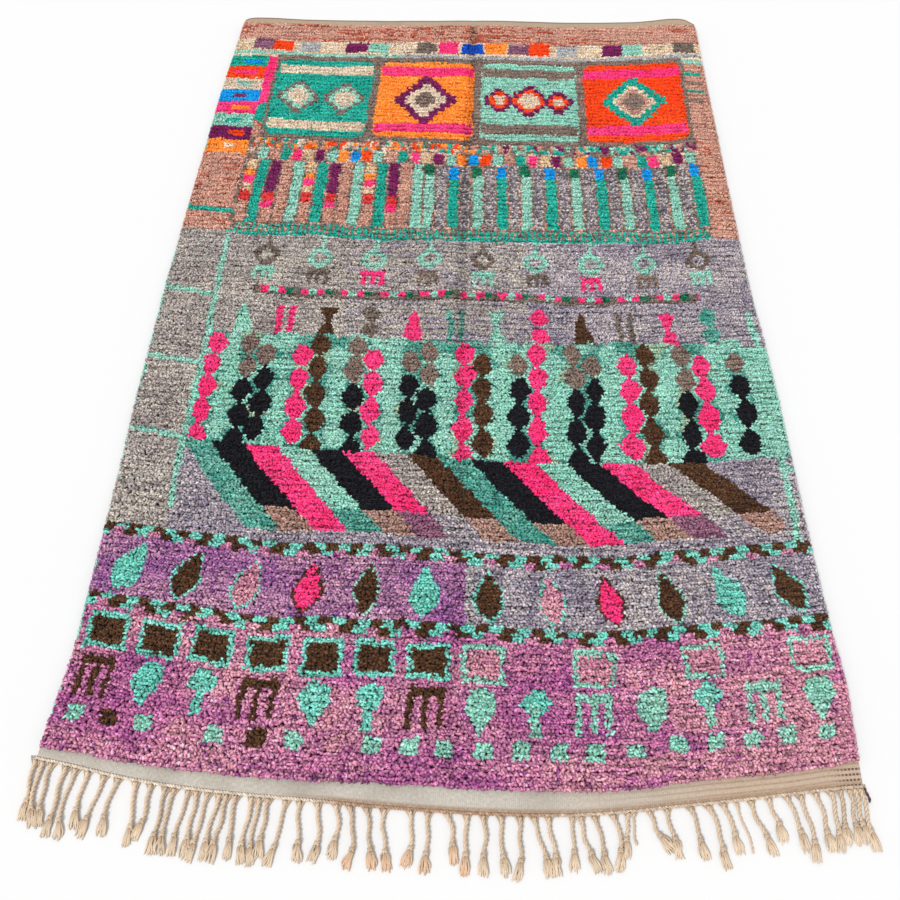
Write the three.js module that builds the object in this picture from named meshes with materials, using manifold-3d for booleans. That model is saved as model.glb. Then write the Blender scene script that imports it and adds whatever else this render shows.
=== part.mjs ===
import * as THREE from 'three';
import { mergeVertices } from 'three/addons/utils/BufferGeometryUtils.js';
import Module from 'manifold-3d';

// A hand-knotted wool rug lying flat: a flat-woven strip at each end, shaggy pile between
// them, and plied warp cords left as a fringe at the near end.
// Millimetres. x runs across the rug, y along it away from the fringe, z up.

const wasm = await Module();
wasm.setup();

// Driving sizes
const HALF_WIDTH = 775;
const PILE_HIGH = 18;
const WEB_THICK = 3.5;

// The outline, as laid on the floor. "along" is measured from the near corners of the weave.
// How far each side stands out past half the width.
const SIDE_SWAY = [
  { along: -90, left: -1, right: 2 },
  { along: 0, left: -2, right: 3 },
  { along: 100, left: -8, right: 8 },
  { along: 200, left: -16, right: 11 },
  { along: 300, left: -16, right: 6 },
  { along: 500, left: -12, right: 1 },
  { along: 700, left: -7, right: -1 },
  { along: 900, left: -1, right: -2 },
  { along: 1100, left: 2, right: -8 },
  { along: 1300, left: 3, right: -16 },
  { along: 1700, left: 1, right: -18 },
  { along: 2100, left: -2, right: -18 },
  { along: 2300, left: -8, right: -18 },
  { along: 2600, left: -18, right: -16 },
];

// The near end bows out in the middle: where its weave ends, and where its pile starts.
// The twined strip lies past the end of the weave.
const NEAR_END = [
  { across: -775, weave: 4, pile: 20 },
  { across: -700, weave: -9, pile: 12 },
  { across: -620, weave: -25, pile: -2 },
  { across: -540, weave: -37, pile: -10 },
  { across: -460, weave: -46, pile: -19 },
  { across: -350, weave: -54, pile: -26 },
  { across: -230, weave: -61, pile: -30 },
  { across: -80, weave: -70, pile: -31 },
  { across: 80, weave: -75, pile: -37 },
  { across: 230, weave: -73, pile: -38 },
  { across: 340, weave: -63, pile: -30 },
  { across: 440, weave: -50, pile: -16 },
  { across: 540, weave: -37, pile: -4 },
  { across: 640, weave: -23, pile: 8 },
  { across: 720, weave: -11, pile: 20 },
  { across: 775, weave: -5, pile: 32 },
];

// The far end is nearly straight, but its right corner is pulled out and rounded.
const FAR_END = [
  { across: -775, weave: 2536, pile: 2503 },
  { across: -755, weave: 2549, pile: 2505 },
  { across: -700, weave: 2551, pile: 2505 },
  { across: -560, weave: 2543, pile: 2498 },
  { across: -350, weave: 2542, pile: 2496 },
  { across: -140, weave: 2547, pile: 2501 },
  { across: 70, weave: 2554, pile: 2507 },
  { across: 350, weave: 2549, pile: 2502 },
  { across: 560, weave: 2558, pile: 2511 },
  { across: 630, weave: 2569, pile: 2521 },
  { across: 700, weave: 2583, pile: 2533 },
  { across: 745, weave: 2578, pile: 2532 },
  { across: 775, weave: 2548, pile: 2522 },
];

// The rim of the pile, from its foot on the weave to its shoulder: a run of soft locks.
const LOCK_PITCH = 24;
const RIM_STEPS = [
  { name: 'foot', inset: 7, high: WEB_THICK, lock: 0.0 },
  { name: 'belly', inset: 3, high: 8, lock: 1.0 },
  { name: 'shoulder', inset: 7, high: PILE_HIGH - 4, lock: 0.7 },
];
const LOCK_DEEP = 4;
const SELVEDGE_INSET = 5;
const WEAVE_STEPS = { end: 44, side: 40 };

// The top of the pile: a coarse lumpy net, closer in beside the crease down the middle.
const TOP_INSET = 26;
const TOP_ROWS = 49;
const TOP_COLUMNS_A_SIDE = 15;
const LUMP_HIGH = 1.1;
const JITTER_HIGH = 1.0;
const CREASE = { across: 8, sway: 7, deep: 4, half: 24 };

// Fringe cords: where each is rooted, how far its middle bows sideways, how far its tip
// leans from its root, and how far it reaches from the twine. Thin ones are single-plied.
const CORDS = [
  { root: -772, bow: -3, lean: 7, reach: 112 },
  { root: -757, bow: -7, lean: 9, reach: 122 },
  { root: -739, bow: -8, lean: 8, reach: 118 },
  { root: -711, bow: -3, lean: -4, reach: 130 },
  { root: -692, bow: -4, lean: -7, reach: 130 },
  { root: -668, bow: 0, lean: -9, reach: 106 },
  { root: -636, bow: 2, lean: -22, reach: 114 },
  { root: -608, bow: -3, lean: -14, reach: 105 },
  { root: -576, bow: 3, lean: 6, reach: 116 },
  { root: -546, bow: 3, lean: -8, reach: 104 },
  { root: -516, bow: -1, lean: -6, reach: 122 },
  { root: -498, bow: -8, lean: -3, reach: 118 },
  { root: -471, bow: -4, lean: -13, reach: 116 },
  { root: -459, bow: 4, lean: -8, reach: 120 },
  { root: -435, bow: -1, lean: -16, reach: 124 },
  { root: -415, bow: 2, lean: -19, reach: 120 },
  { root: -401, bow: 2, lean: -16, reach: 122 },
  { root: -383, bow: -5, lean: 3, reach: 115 },
  { root: -353, bow: -1, lean: -9, reach: 118 },
  { root: -340, bow: -1, lean: -5, reach: 121 },
  { root: -323, bow: -1, lean: -5, reach: 108 },
  { root: -289, bow: 1, lean: -22, reach: 119 },
  { root: -265, bow: -3, lean: 11, reach: 108 },
  { root: -234, bow: 8, lean: 2, reach: 108 },
  { root: -199, bow: 10, lean: -4, reach: 97 },
  { root: -175, bow: 11, lean: 4, reach: 112 },
  { root: -142, bow: 4, lean: 12, reach: 109 },
  { root: -108, bow: -8, lean: 20, reach: 109 },
  { root: -63, bow: 10, lean: -7, reach: 100 },
  { root: -28, bow: -1, lean: 2, reach: 108 },
  { root: 4, bow: 11, lean: 8, reach: 90 },
  { root: 42, bow: 4, lean: -8, reach: 106 },
  { root: 72, bow: 8, lean: -6, reach: 106 },
  { root: 105, bow: 0, lean: 5, reach: 106 },
  { root: 139, bow: 2, lean: -1, reach: 112 },
  { root: 163, bow: 2, lean: 29, reach: 106 },
  { root: 191, bow: -2, lean: 21, reach: 102 },
  { root: 237, bow: -4, lean: 3, reach: 96 },
  { root: 251, bow: -7, lean: 31, reach: 98 },
  { root: 275, bow: 1, lean: 24, reach: 101 },
  { root: 308, bow: 9, lean: 7, reach: 98 },
  { root: 340, bow: -5, lean: -5, reach: 82 },
  { root: 352, bow: -7, lean: 1, reach: 62, thin: true },
  { root: 377, bow: -5, lean: 35, reach: 78 },
  { root: 410, bow: -5, lean: 19, reach: 86 },
  { root: 450, bow: 7, lean: 14, reach: 93 },
  { root: 483, bow: 10, lean: 17, reach: 112 },
  { root: 512, bow: 0, lean: 28, reach: 90 },
  { root: 536, bow: 2, lean: 21, reach: 93, thin: true },
  { root: 564, bow: -8, lean: 42, reach: 98 },
  { root: 598, bow: -7, lean: 33, reach: 80 },
  { root: 631, bow: 2, lean: 25, reach: 98 },
  { root: 657, bow: 2, lean: 16, reach: 119 },
  { root: 685, bow: 7, lean: 7, reach: 106 },
  { root: 715, bow: 5, lean: -6, reach: 110 },
  { root: 732, bow: 2, lean: -5, reach: 100 },
  { root: 751, bow: 3, lean: -8, reach: 100 },
  { root: 761, bow: 2, lean: -3, reach: 98 },
  { root: 771, bow: 2, lean: 2, reach: 112 },
];
const SELVEDGE_END = { root: 780, bow: 1, lean: 3, reach: 30, thin: true };

// One cord from its root to its tip: the plied run, the overhand knot, the loose tuft.
// "back" is measured back from the tip.
const CORD_WIDE = 8;
const CORD_HIGH = 6.5;
const THIN_WIDE = 4.5;
const THIN_HIGH = 4;
const RUN_SHARES = [0, 0.3, 0.55, 0.8];
const CORD_END = [
  { back: 42, wide: 8, high: 6.5 },
  { back: 35, wide: 12, high: 9.5 },
  { back: 27, wide: 8.5, high: 6.5 },
  { back: 12, wide: 12, high: 5 },
  { back: 0, wide: 13, high: 3 },
];
const THIN_END = [{ back: 0, wide: 4, high: 3 }];

// The twined strip that holds the cords' roots, just off the edge of the weave
const TWINE = { gap: 0.3, wide: 7, thick: 4, past: 6, step: 36 };

// Smooth value of one column of a table at a place between its rows
function readTable(rows, key, column, at) {
  const last = rows.length - 1;
  const place = Math.min(Math.max(at, rows[0][key]), rows[last][key]);
  let i = 0;
  while (i < last - 1 && rows[i + 1][key] < place) i += 1;
  const slope = (k) => {
    const before = rows[Math.max(k - 1, 0)];
    const after = rows[Math.min(k + 1, last)];
    return (after[column] - before[column]) / (after[key] - before[key]);
  };
  const span = rows[i + 1][key] - rows[i][key];
  const t = (place - rows[i][key]) / span;
  const rise = t * t * (3 - 2 * t);
  const lead = t * (1 - t) * (1 - t) * span * slope(i);
  const trail = t * t * (1 - t) * span * slope(i + 1);
  return rows[i][column] * (1 - rise) + rows[i + 1][column] * rise + lead - trail;
}

// Steady noise in the range -1 to 1 for a whole number
function noise(n) {
  const s = Math.sin(n * 127.1 + 311.7) * 43758.5453;
  return 2 * (s - Math.floor(s)) - 1;
}

const leftEdge = (along) => -HALF_WIDTH - readTable(SIDE_SWAY, 'along', 'left', along);
const rightEdge = (along) => HALF_WIDTH + readTable(SIDE_SWAY, 'along', 'right', along);
const endLine = (rows, column, across) => readTable(rows, 'across', column, across);

// A place on the floor at a share of the width, on the line that "along" gives across the rug
function placeOn(share, along, inset = 0) {
  const y = along((share - 0.5) * 2 * HALF_WIDTH);
  const x = THREE.MathUtils.lerp(leftEdge(y) + inset, rightEdge(y) - inset, share);
  return new THREE.Vector2(x, y);
}

// The plan of the pile: shares of its width and of its length
function planOfPile(share, length) {
  const line = (across) => THREE.MathUtils.lerp(
    endLine(NEAR_END, 'pile', across), endLine(FAR_END, 'pile', across), length);
  return placeOn(share, line);
}

// A closed outline, anticlockwise, through four edges: near end, right, far end, left.
// "inset" draws the two sides in.
function outline(column, endSteps, sideSteps, inset = 0) {
  const near = (across) => endLine(NEAR_END, column, across);
  const far = (across) => endLine(FAR_END, column, across);
  const points = [];
  for (let i = 0; i < endSteps; i += 1) points.push(placeOn(i / endSteps, near, inset));
  for (let i = 0; i < sideSteps; i += 1) {
    const y = THREE.MathUtils.lerp(near(HALF_WIDTH), far(HALF_WIDTH), i / sideSteps);
    points.push(new THREE.Vector2(rightEdge(y) - inset, y));
  }
  for (let i = 0; i < endSteps; i += 1) points.push(placeOn(1 - i / endSteps, far, inset));
  for (let i = 0; i < sideSteps; i += 1) {
    const y = THREE.MathUtils.lerp(far(-HALF_WIDTH), near(-HALF_WIDTH), i / sideSteps);
    points.push(new THREE.Vector2(leftEdge(y) + inset, y));
  }
  return points;
}

// Moves each point of an anticlockwise outline inwards by its own distance, square to both
// of the edges that meet there
function insetBy(points, distance) {
  const inward = (from, to) => {
    const run = new THREE.Vector2().subVectors(to, from).normalize();
    return new THREE.Vector2(-run.y, run.x);
  };
  return points.map((point, i) => {
    const before = inward(points[(i + points.length - 1) % points.length], point);
    const after = inward(point, points[(i + 1) % points.length]);
    const share = distance(i) / (1 + before.dot(after));
    return point.clone().addScaledVector(before, share).addScaledVector(after, share);
  });
}

// Height of the top of the pile at a place: long lumps, small lumps and the crease
function pileTop(x, y, seed) {
  const long = Math.sin(x / 61 + 2 * Math.sin(y / 173)) + Math.sin(y / 67 + 1.7 * Math.sin(x / 149));
  const middle = CREASE.across + CREASE.sway * Math.sin(y / 310);
  const off = Math.min(Math.abs(x - middle) / CREASE.half, 1);
  const trough = CREASE.deep * (0.5 + 0.5 * Math.cos(Math.PI * off));
  return PILE_HIGH + 0.5 * LUMP_HIGH * long + JITTER_HIGH * noise(seed) - trough;
}

// Shares of the width at which the net of the pile's top has its columns
function topColumns() {
  const lead = TOP_INSET / (2 * HALF_WIDTH);
  const middle = 0.5 + CREASE.across / (2 * HALF_WIDTH);
  const half = CREASE.half / (2 * HALF_WIDTH);
  const shares = [];
  for (let i = 0; i <= TOP_COLUMNS_A_SIDE; i += 1) {
    shares.push(THREE.MathUtils.lerp(lead, middle - half, i / TOP_COLUMNS_A_SIDE));
  }
  shares.push(middle);
  for (let i = 0; i <= TOP_COLUMNS_A_SIDE; i += 1) {
    shares.push(THREE.MathUtils.lerp(middle + half, 1 - lead, i / TOP_COLUMNS_A_SIDE));
  }
  return shares;
}

// Collects the points and triangles of one closed body
class Body {
  constructor() {
    this.points = [];
    this.faces = [];
  }

  addRing(plan, height) {
    return plan.map((point, i) => {
      this.points.push(point.x, point.y, height(point, i));
      return this.points.length / 3 - 1;
    });
  }

  // The wall between two rings of like length, the second above or inside the first
  addWall(lower, upper) {
    lower.forEach((a, i) => {
      const j = (i + 1) % lower.length;
      this.faces.push(a, lower[j], upper[j], a, upper[j], upper[i]);
    });
  }

  // A cap between an outer ring and an inner one, or over the whole outer ring
  addCap(outer, inner, up) {
    const plan = (ring) => ring.map((k) => new THREE.Vector2(this.points[3 * k], this.points[3 * k + 1]));
    const rings = outer.concat(...inner);
    const flat = plan(rings);
    for (const [a, b, c] of THREE.ShapeUtils.triangulateShape(plan(outer), inner.map(plan))) {
      const turn = (flat[b].x - flat[a].x) * (flat[c].y - flat[a].y)
        - (flat[c].x - flat[a].x) * (flat[b].y - flat[a].y);
      const keep = turn > 0 === up;
      this.faces.push(rings[a], rings[keep ? b : c], rings[keep ? c : b]);
    }
  }

  // A net of rows of points, each quad cut in two
  addNet(rows) {
    for (let r = 0; r + 1 < rows.length; r += 1) {
      for (let c = 0; c + 1 < rows[r].length; c += 1) {
        const a = rows[r][c];
        const b = rows[r][c + 1];
        const d = rows[r + 1][c];
        const e = rows[r + 1][c + 1];
        this.faces.push(a, b, e, a, e, d);
      }
    }
  }

  geometry() {
    const geometry = new THREE.BufferGeometry();
    geometry.setAttribute('position', new THREE.Float32BufferAttribute(this.points, 3));
    geometry.setIndex(this.faces);
    return geometry;
  }
}

// The cloth: weave from end to end, and the pile standing on it, in one body
function clothGeometry() {
  const body = new Body();
  const edge = outline('weave', WEAVE_STEPS.end, WEAVE_STEPS.side, SELVEDGE_INSET);
  const floor = body.addRing(edge, () => 0);
  const web = body.addRing(edge, () => WEB_THICK);
  body.addCap(floor, [], false);
  body.addWall(floor, web);

  const endSteps = Math.round((2 * HALF_WIDTH) / LOCK_PITCH) * 2;
  const sideSteps = Math.round(FAR_END[0].pile / LOCK_PITCH) * 2;
  const pileEdge = outline('pile', endSteps, sideSteps);
  const lockOut = (i) => (i % 2 === 0 ? 1 : -1) * (0.7 + 0.3 * noise(i)) * LOCK_DEEP * 0.5;
  const rims = RIM_STEPS.map((step) => {
    const plan = insetBy(pileEdge, (i) => step.inset - step.lock * lockOut(i));
    const sag = (i) => 1.2 * step.lock * noise(i + 900);
    return body.addRing(plan, (_, i) => step.high + sag(i));
  });
  body.addCap(web, [rims[0]], true);
  for (let k = 0; k + 1 < rims.length; k += 1) body.addWall(rims[k], rims[k + 1]);

  const lead = TOP_INSET / FAR_END[0].pile;
  const rows = [];
  for (let r = 0; r < TOP_ROWS; r += 1) {
    const length = THREE.MathUtils.lerp(lead, 1 - lead, r / (TOP_ROWS - 1));
    const plan = topColumns().map((share) => planOfPile(share, length));
    rows.push(body.addRing(plan, (point, c) => pileTop(point.x, point.y, r * 97 + c)));
  }
  body.addNet(rows);
  const last = rows.length - 1;
  const netEdge = [
    ...rows[0],
    ...rows.slice(1, last).map((row) => row[row.length - 1]),
    ...rows[last].slice().reverse(),
    ...rows.slice(1, last).reverse().map((row) => row[0]),
  ];
  body.addCap(rims[rims.length - 1], [netEdge], true);
  return body.geometry();
}

// A four-sided tube through sections, each a centre, a direction, a width and a height
function flatTube(sections) {
  const body = new Body();
  const rings = sections.map(({ centre, run, wide, high }) => {
    const side = new THREE.Vector2(-run.y, run.x);
    const corners = [[0.5, 0], [0.34, high], [-0.34, high], [-0.5, 0]];
    return corners.map(([share, z]) => {
      const point = centre.clone().addScaledVector(side, share * wide);
      body.points.push(point.x, point.y, z);
      return body.points.length / 3 - 1;
    });
  });
  for (let k = 0; k + 1 < rings.length; k += 1) {
    const [near, far] = [rings[k], rings[k + 1]];
    near.forEach((a, i) => {
      const j = (i + 1) % near.length;
      body.faces.push(a, near[j], far[j], a, far[j], far[i]);
    });
  }
  const [first, final] = [rings[0], rings[rings.length - 1]];
  body.faces.push(first[0], first[2], first[1], first[0], first[3], first[2]);
  body.faces.push(final[0], final[1], final[2], final[0], final[2], final[3]);
  return body.geometry();
}

// The line down the middle of one cord as it lies on the floor
function cordLine({ root, bow, lean, reach }) {
  const start = endLine(NEAR_END, 'weave', root) - TWINE.gap - TWINE.wide / 2;
  const run = reach + TWINE.wide / 2;
  return new THREE.SplineCurve([
    new THREE.Vector2(root, start),
    new THREE.Vector2(root + lean * 0.5 + bow, start - run * 0.5),
    new THREE.Vector2(root + lean, start - run),
  ]);
}

function cordGeometry(cord) {
  const line = cordLine(cord);
  const long = line.getLength();
  const end = cord.thin ? THIN_END : CORD_END;
  const run = long - end[0].back;
  const wide = cord.thin ? THIN_WIDE : CORD_WIDE;
  const high = cord.thin ? THIN_HIGH : CORD_HIGH;
  const stations = RUN_SHARES.map((share) => ({ at: share * run, wide, high }));
  for (const section of end) stations.push({ ...section, at: long - section.back });
  return flatTube(stations.map((station) => ({
    centre: line.getPointAt(station.at / long),
    run: line.getTangentAt(station.at / long),
    wide: station.wide,
    high: station.high,
  })));
}

function twineGeometry() {
  const start = -HALF_WIDTH - 1;
  const finish = HALF_WIDTH + TWINE.past;
  const steps = Math.round((finish - start) / TWINE.step);
  const middle = (x) => endLine(NEAR_END, 'weave', x) - TWINE.gap - TWINE.wide / 2;
  const sections = [];
  for (let i = 0; i <= steps; i += 1) {
    const x = THREE.MathUtils.lerp(start, finish, i / steps);
    const slope = (middle(x + 1) - middle(x - 1)) / 2;
    sections.push({
      centre: new THREE.Vector2(x, middle(x)),
      run: new THREE.Vector2(1, slope).normalize(),
      wide: TWINE.wide,
      high: TWINE.thick,
    });
  }
  return flatTube(sections);
}

function toSolid(geometry) {
  const merged = mergeVertices(geometry, 1e-4);
  return new wasm.Manifold(new wasm.Mesh({
    numProp: 3,
    vertProperties: new Float32Array(merged.attributes.position.array),
    triVerts: new Uint32Array(merged.index.array),
  }));
}

function toGeometry(solid) {
  const mesh = solid.getMesh();
  const geometry = new THREE.BufferGeometry();
  geometry.setAttribute('position', new THREE.BufferAttribute(new Float32Array(mesh.vertProperties), 3));
  geometry.setIndex(Array.from(mesh.triVerts));
  return geometry;
}

function fringeGeometry() {
  let fringe = toSolid(twineGeometry());
  for (const cord of [...CORDS, SELVEDGE_END]) fringe = fringe.add(toSolid(cordGeometry(cord)));
  return toGeometry(fringe);
}

const pileWool = new THREE.MeshStandardMaterial({ color: '#b07fa0', roughness: 0.95, metalness: 0 });
const undyedWool = new THREE.MeshStandardMaterial({ color: '#d8c4a8', roughness: 0.9, metalness: 0 });

const cloth = new THREE.Mesh(clothGeometry(), pileWool);
cloth.name = 'rug_cloth';
const fringe = new THREE.Mesh(fringeGeometry(), undyedWool);
fringe.name = 'fringe_cords';

// The origin lies on the floor under the middle of the rug's footprint, fringe included
const group = new THREE.Group();
group.add(cloth, fringe);
const footprint = new THREE.Box3().setFromObject(group);
const middle = footprint.getCenter(new THREE.Vector3());
group.position.set(-middle.x, -middle.y, 0);

export default group;
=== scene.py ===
import math
from typing import NamedTuple

import bmesh
import bpy
import numpy as np
from bpy.props import FloatProperty, FloatVectorProperty, IntProperty, PointerProperty
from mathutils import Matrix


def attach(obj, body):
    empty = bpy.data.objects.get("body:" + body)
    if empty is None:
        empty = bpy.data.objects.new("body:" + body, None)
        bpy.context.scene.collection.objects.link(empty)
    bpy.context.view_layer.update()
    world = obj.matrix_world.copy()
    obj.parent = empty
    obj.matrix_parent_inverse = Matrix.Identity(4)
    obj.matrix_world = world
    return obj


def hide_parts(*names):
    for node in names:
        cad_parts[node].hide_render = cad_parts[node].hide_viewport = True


bl_info = {
    "name": "Knotted wool rug",
    "version": (1, 0, 0),
    "blender": (4, 5, 0),
    "location": "3D View > Sidebar > Rug",
    "description": "Dresses the rug's frame with knotted pile, flat-woven ends and a corded fringe",
    "category": "Object",
}

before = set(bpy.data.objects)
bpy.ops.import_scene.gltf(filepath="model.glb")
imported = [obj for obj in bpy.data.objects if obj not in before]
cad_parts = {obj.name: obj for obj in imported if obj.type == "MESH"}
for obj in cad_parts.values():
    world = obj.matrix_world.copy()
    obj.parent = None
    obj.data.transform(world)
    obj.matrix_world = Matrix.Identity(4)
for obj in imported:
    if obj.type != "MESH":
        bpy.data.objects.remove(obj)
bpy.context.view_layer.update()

MM = 0.001

# The rug is laid out in millimetres on a table: x from its middle, y from its near corners.
# The frame's origin lies here on that table.
ORIGIN = (4.10126, 1194.29056)

# Half the width of the weave, the top of the pile, the weave's thickness and its usual length
HALF_WIDTH = 775
PILE_HIGH = 18
WEB_THICK = 3.5
LENGTH = 2600

# How far each side stands out past half the width: along the rug, left, right
SIDE_SWAY = [
    (-90, -1, 2), (0, -2, 3), (100, -8, 8), (200, -16, 11), (300, -16, 6), (500, -12, 1),
    (700, -7, -1), (900, -1, -2), (1100, 2, -8), (1300, 3, -16), (1700, 1, -18), (2100, -2, -18),
    (2300, -8, -18), (2600, -18, -16),
]

# Both ends: across the rug, where the weave ends and where the pile starts
NEAR_END = [
    (-775, 4, 20), (-700, -9, 12), (-620, -25, -2), (-540, -37, -10), (-460, -46, -19),
    (-350, -54, -26), (-230, -61, -30), (-80, -70, -31), (80, -75, -37), (230, -73, -38),
    (340, -63, -30), (440, -50, -16), (540, -37, -4), (640, -23, 8), (720, -11, 20), (775, -5, 32),
]
FAR_END = [
    (-775, 2536, 2503), (-755, 2549, 2505), (-700, 2551, 2505), (-560, 2543, 2498),
    (-350, 2542, 2496), (-140, 2547, 2501), (70, 2554, 2507), (350, 2549, 2502), (560, 2558, 2511),
    (630, 2569, 2521), (700, 2583, 2533), (745, 2578, 2532), (775, 2548, 2522),
]

# Columns of these tables
LEFT, RIGHT = 1, 2
WEAVE, PILE = 1, 2

# The pile's soft lumps and its rows, and the crease: where it lies across the rug, how far it
# sways to the sides, how deep it is and half its width
LUMP_HIGH = 1.1
ROW_PITCH = 18
CREASE = {"across": 8, "sway": 7, "deep": 4, "half": 24}


class Cord(NamedTuple):
    """A fringe cord: where it is rooted, how far its middle bows sideways, how far its tip leans
    from its root, and how far it reaches from the twine"""
    root: float
    bow: float
    lean: float
    reach: float
    thin: bool = False


# Every cord from the left, a thin one marked True
CORDS = [Cord(*row) for row in (
    (-772, -3, 7, 112), (-757, -7, 9, 122), (-739, -8, 8, 118), (-711, -3, -4, 130),
    (-692, -4, -7, 130), (-668, 0, -9, 106), (-636, 2, -22, 114), (-608, -3, -14, 105),
    (-576, 3, 6, 116), (-546, 3, -8, 104), (-516, -1, -6, 122), (-498, -8, -3, 118),
    (-471, -4, -13, 116), (-459, 4, -8, 120), (-435, -1, -16, 124), (-415, 2, -19, 120),
    (-401, 2, -16, 122), (-383, -5, 3, 115), (-353, -1, -9, 118), (-340, -1, -5, 121),
    (-323, -1, -5, 108), (-289, 1, -22, 119), (-265, -3, 11, 108), (-234, 8, 2, 108),
    (-199, 10, -4, 97), (-175, 11, 4, 112), (-142, 4, 12, 109), (-108, -8, 20, 109),
    (-63, 10, -7, 100), (-28, -1, 2, 108), (4, 11, 8, 90), (42, 4, -8, 106), (72, 8, -6, 106),
    (105, 0, 5, 106), (139, 2, -1, 112), (163, 2, 29, 106), (191, -2, 21, 102), (237, -4, 3, 96),
    (251, -7, 31, 98), (275, 1, 24, 101), (308, 9, 7, 98), (340, -5, -5, 82),
    (352, -7, 1, 62, True), (377, -5, 35, 78), (410, -5, 19, 86), (450, 7, 14, 93),
    (483, 10, 17, 112), (512, 0, 28, 90), (536, 2, 21, 93, True), (564, -8, 42, 98),
    (598, -7, 33, 80), (631, 2, 25, 98), (657, 2, 16, 119), (685, 7, 7, 106), (715, 5, -6, 110),
    (732, 2, -5, 100), (751, 3, -8, 100), (761, 2, -3, 98), (771, 2, 2, 112),
)]

# The short dark end of the right selvedge, beside the last cord
SELVEDGE_END = Cord(780, 1, 3, 30, True)

# The twined strip: its gap to the weave, its width, how far it goes past the right side, the
# height of its middle, half its yarn's width and the length of one turn
TWINE = {"gap": 0.3, "wide": 7, "past": 6, "high": 3.0, "yarn": 2.0, "turn": 12}

# The chart of the pattern: columns from the left side, rows from the far end, and the size of
# its squares. Inside the side margins lies the field. Edges are drawn past, for knots that drift.
COLUMNS = 194
ROWS = 250
SQUARE = (8, 10)
FIELD = (19.5, 185.3)
PAST = 2

# Rows where the bands start
PANELS_TOP = 18.4
DASHES_TOP = 61
STRIPES_TOP = 71.5
COMB_TOP = 98
GREY_TOP = 103
CHAINS_TOP = 140
SLANTS_TOP = 173
LEAVES_TOP = 199
NEAR_BORDER_TOP = 219.8


class Yarn(NamedTuple):
    """A dyed yarn: its colour, a second colour that is blended in, the usual share of it, and a
    third colour that the yarn drifts towards in large patches"""
    colour: tuple
    fleck: tuple
    flecked: float
    drift: tuple


YARNS = {
    "mint": Yarn((134, 186, 169), (112, 170, 153), 0.22, (146, 188, 173)),
    "turquoise": Yarn((108, 190, 175), (82, 165, 150), 0.25, (125, 192, 178)),
    "teal": Yarn((16, 158, 140), (14, 132, 116), 0.30, (42, 165, 148)),
    "sea": Yarn((85, 152, 140), (48, 126, 112), 0.40, (115, 166, 152)),
    "pale_green": Yarn((128, 156, 130), (150, 172, 148), 0.40, (118, 150, 130)),
    "green": Yarn((20, 105, 75), (10, 85, 60), 0.30, (25, 112, 80)),
    "pink": Yarn((238, 50, 118), (216, 34, 95), 0.30, (240, 68, 130)),
    "red_orange": Yarn((238, 64, 12), (216, 50, 12), 0.25, (240, 80, 20)),
    "orange": Yarn((242, 122, 30), (246, 150, 70), 0.20, (238, 110, 22)),
    "red": Yarn((205, 45, 50), (180, 35, 42), 0.30, (212, 60, 55)),
    "rust": Yarn((170, 85, 65), (148, 66, 50), 0.40, (180, 98, 76)),
    "salmon": Yarn((182, 138, 120), (164, 110, 94), 0.20, (192, 149, 132)),
    "fawn": Yarn((165, 130, 118), (132, 98, 86), 0.30, (172, 140, 126)),
    "cream": Yarn((206, 188, 167), (192, 170, 148), 0.25, (202, 182, 160)),
    "tan": Yarn((200, 172, 138), (184, 150, 118), 0.30, (206, 180, 148)),
    "plum": Yarn((116, 24, 82), (92, 16, 66), 0.35, (126, 38, 90)),
    "plum_grey": Yarn((135, 90, 112), (112, 64, 92), 0.35, (146, 104, 122)),
    "mauve": Yarn((184, 110, 150), (122, 48, 112), 0.24, (212, 152, 160)),
    "violet": Yarn((164, 108, 152), (108, 50, 118), 0.27, (188, 144, 160)),
    "rose": Yarn((192, 134, 148), (158, 92, 124), 0.28, (200, 148, 154)),
    "lilac": Yarn((182, 172, 168), (100, 92, 114), 0.26, (162, 152, 158)),
    "grey": Yarn((180, 172, 161), (120, 108, 108), 0.26, (166, 159, 153)),
    "silver": Yarn((166, 166, 166), (140, 142, 146), 0.30, (172, 168, 162)),
    "pepper": Yarn((190, 180, 172), (98, 90, 98), 0.43, (172, 162, 162)),
    "taupe": Yarn((132, 114, 102), (106, 90, 82), 0.35, (126, 106, 96)),
    "slate": Yarn((114, 100, 90), (90, 78, 72), 0.35, (120, 106, 96)),
    "brown": Yarn((74, 46, 27), (58, 34, 20), 0.35, (86, 57, 34)),
    "black": Yarn((10, 10, 15), (20, 20, 28), 0.20, (8, 8, 12)),
    "blue": Yarn((5, 140, 210), (5, 118, 190), 0.30, (10, 150, 215)),
    "royal": Yarn((5, 72, 184), (5, 52, 150), 0.30, (10, 84, 190)),
}
YARN_NUMBER = {name: number for number, name in enumerate(YARNS)}

# A yarn with at least this share of its second colour is a tweed of the two
TWEED_SHARE = 0.43


def linear(colour):
    """Linear values of a colour given in the usual steps from 0 to 255"""
    share = np.asarray(colour, float) / 255
    return np.where(share <= 0.04045, share / 12.92, ((share + 0.055) / 1.055) ** 2.4)


def ease(share):
    """A share that starts and ends slowly"""
    return share * share * (3 - 2 * share)


def noise(number):
    """Steady noise from -1 to 1, the same for the same number"""
    wave = np.sin(np.asarray(number, float) * 127.1 + 311.7) * 43758.5453
    return 2 * (wave - np.floor(wave)) - 1


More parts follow.
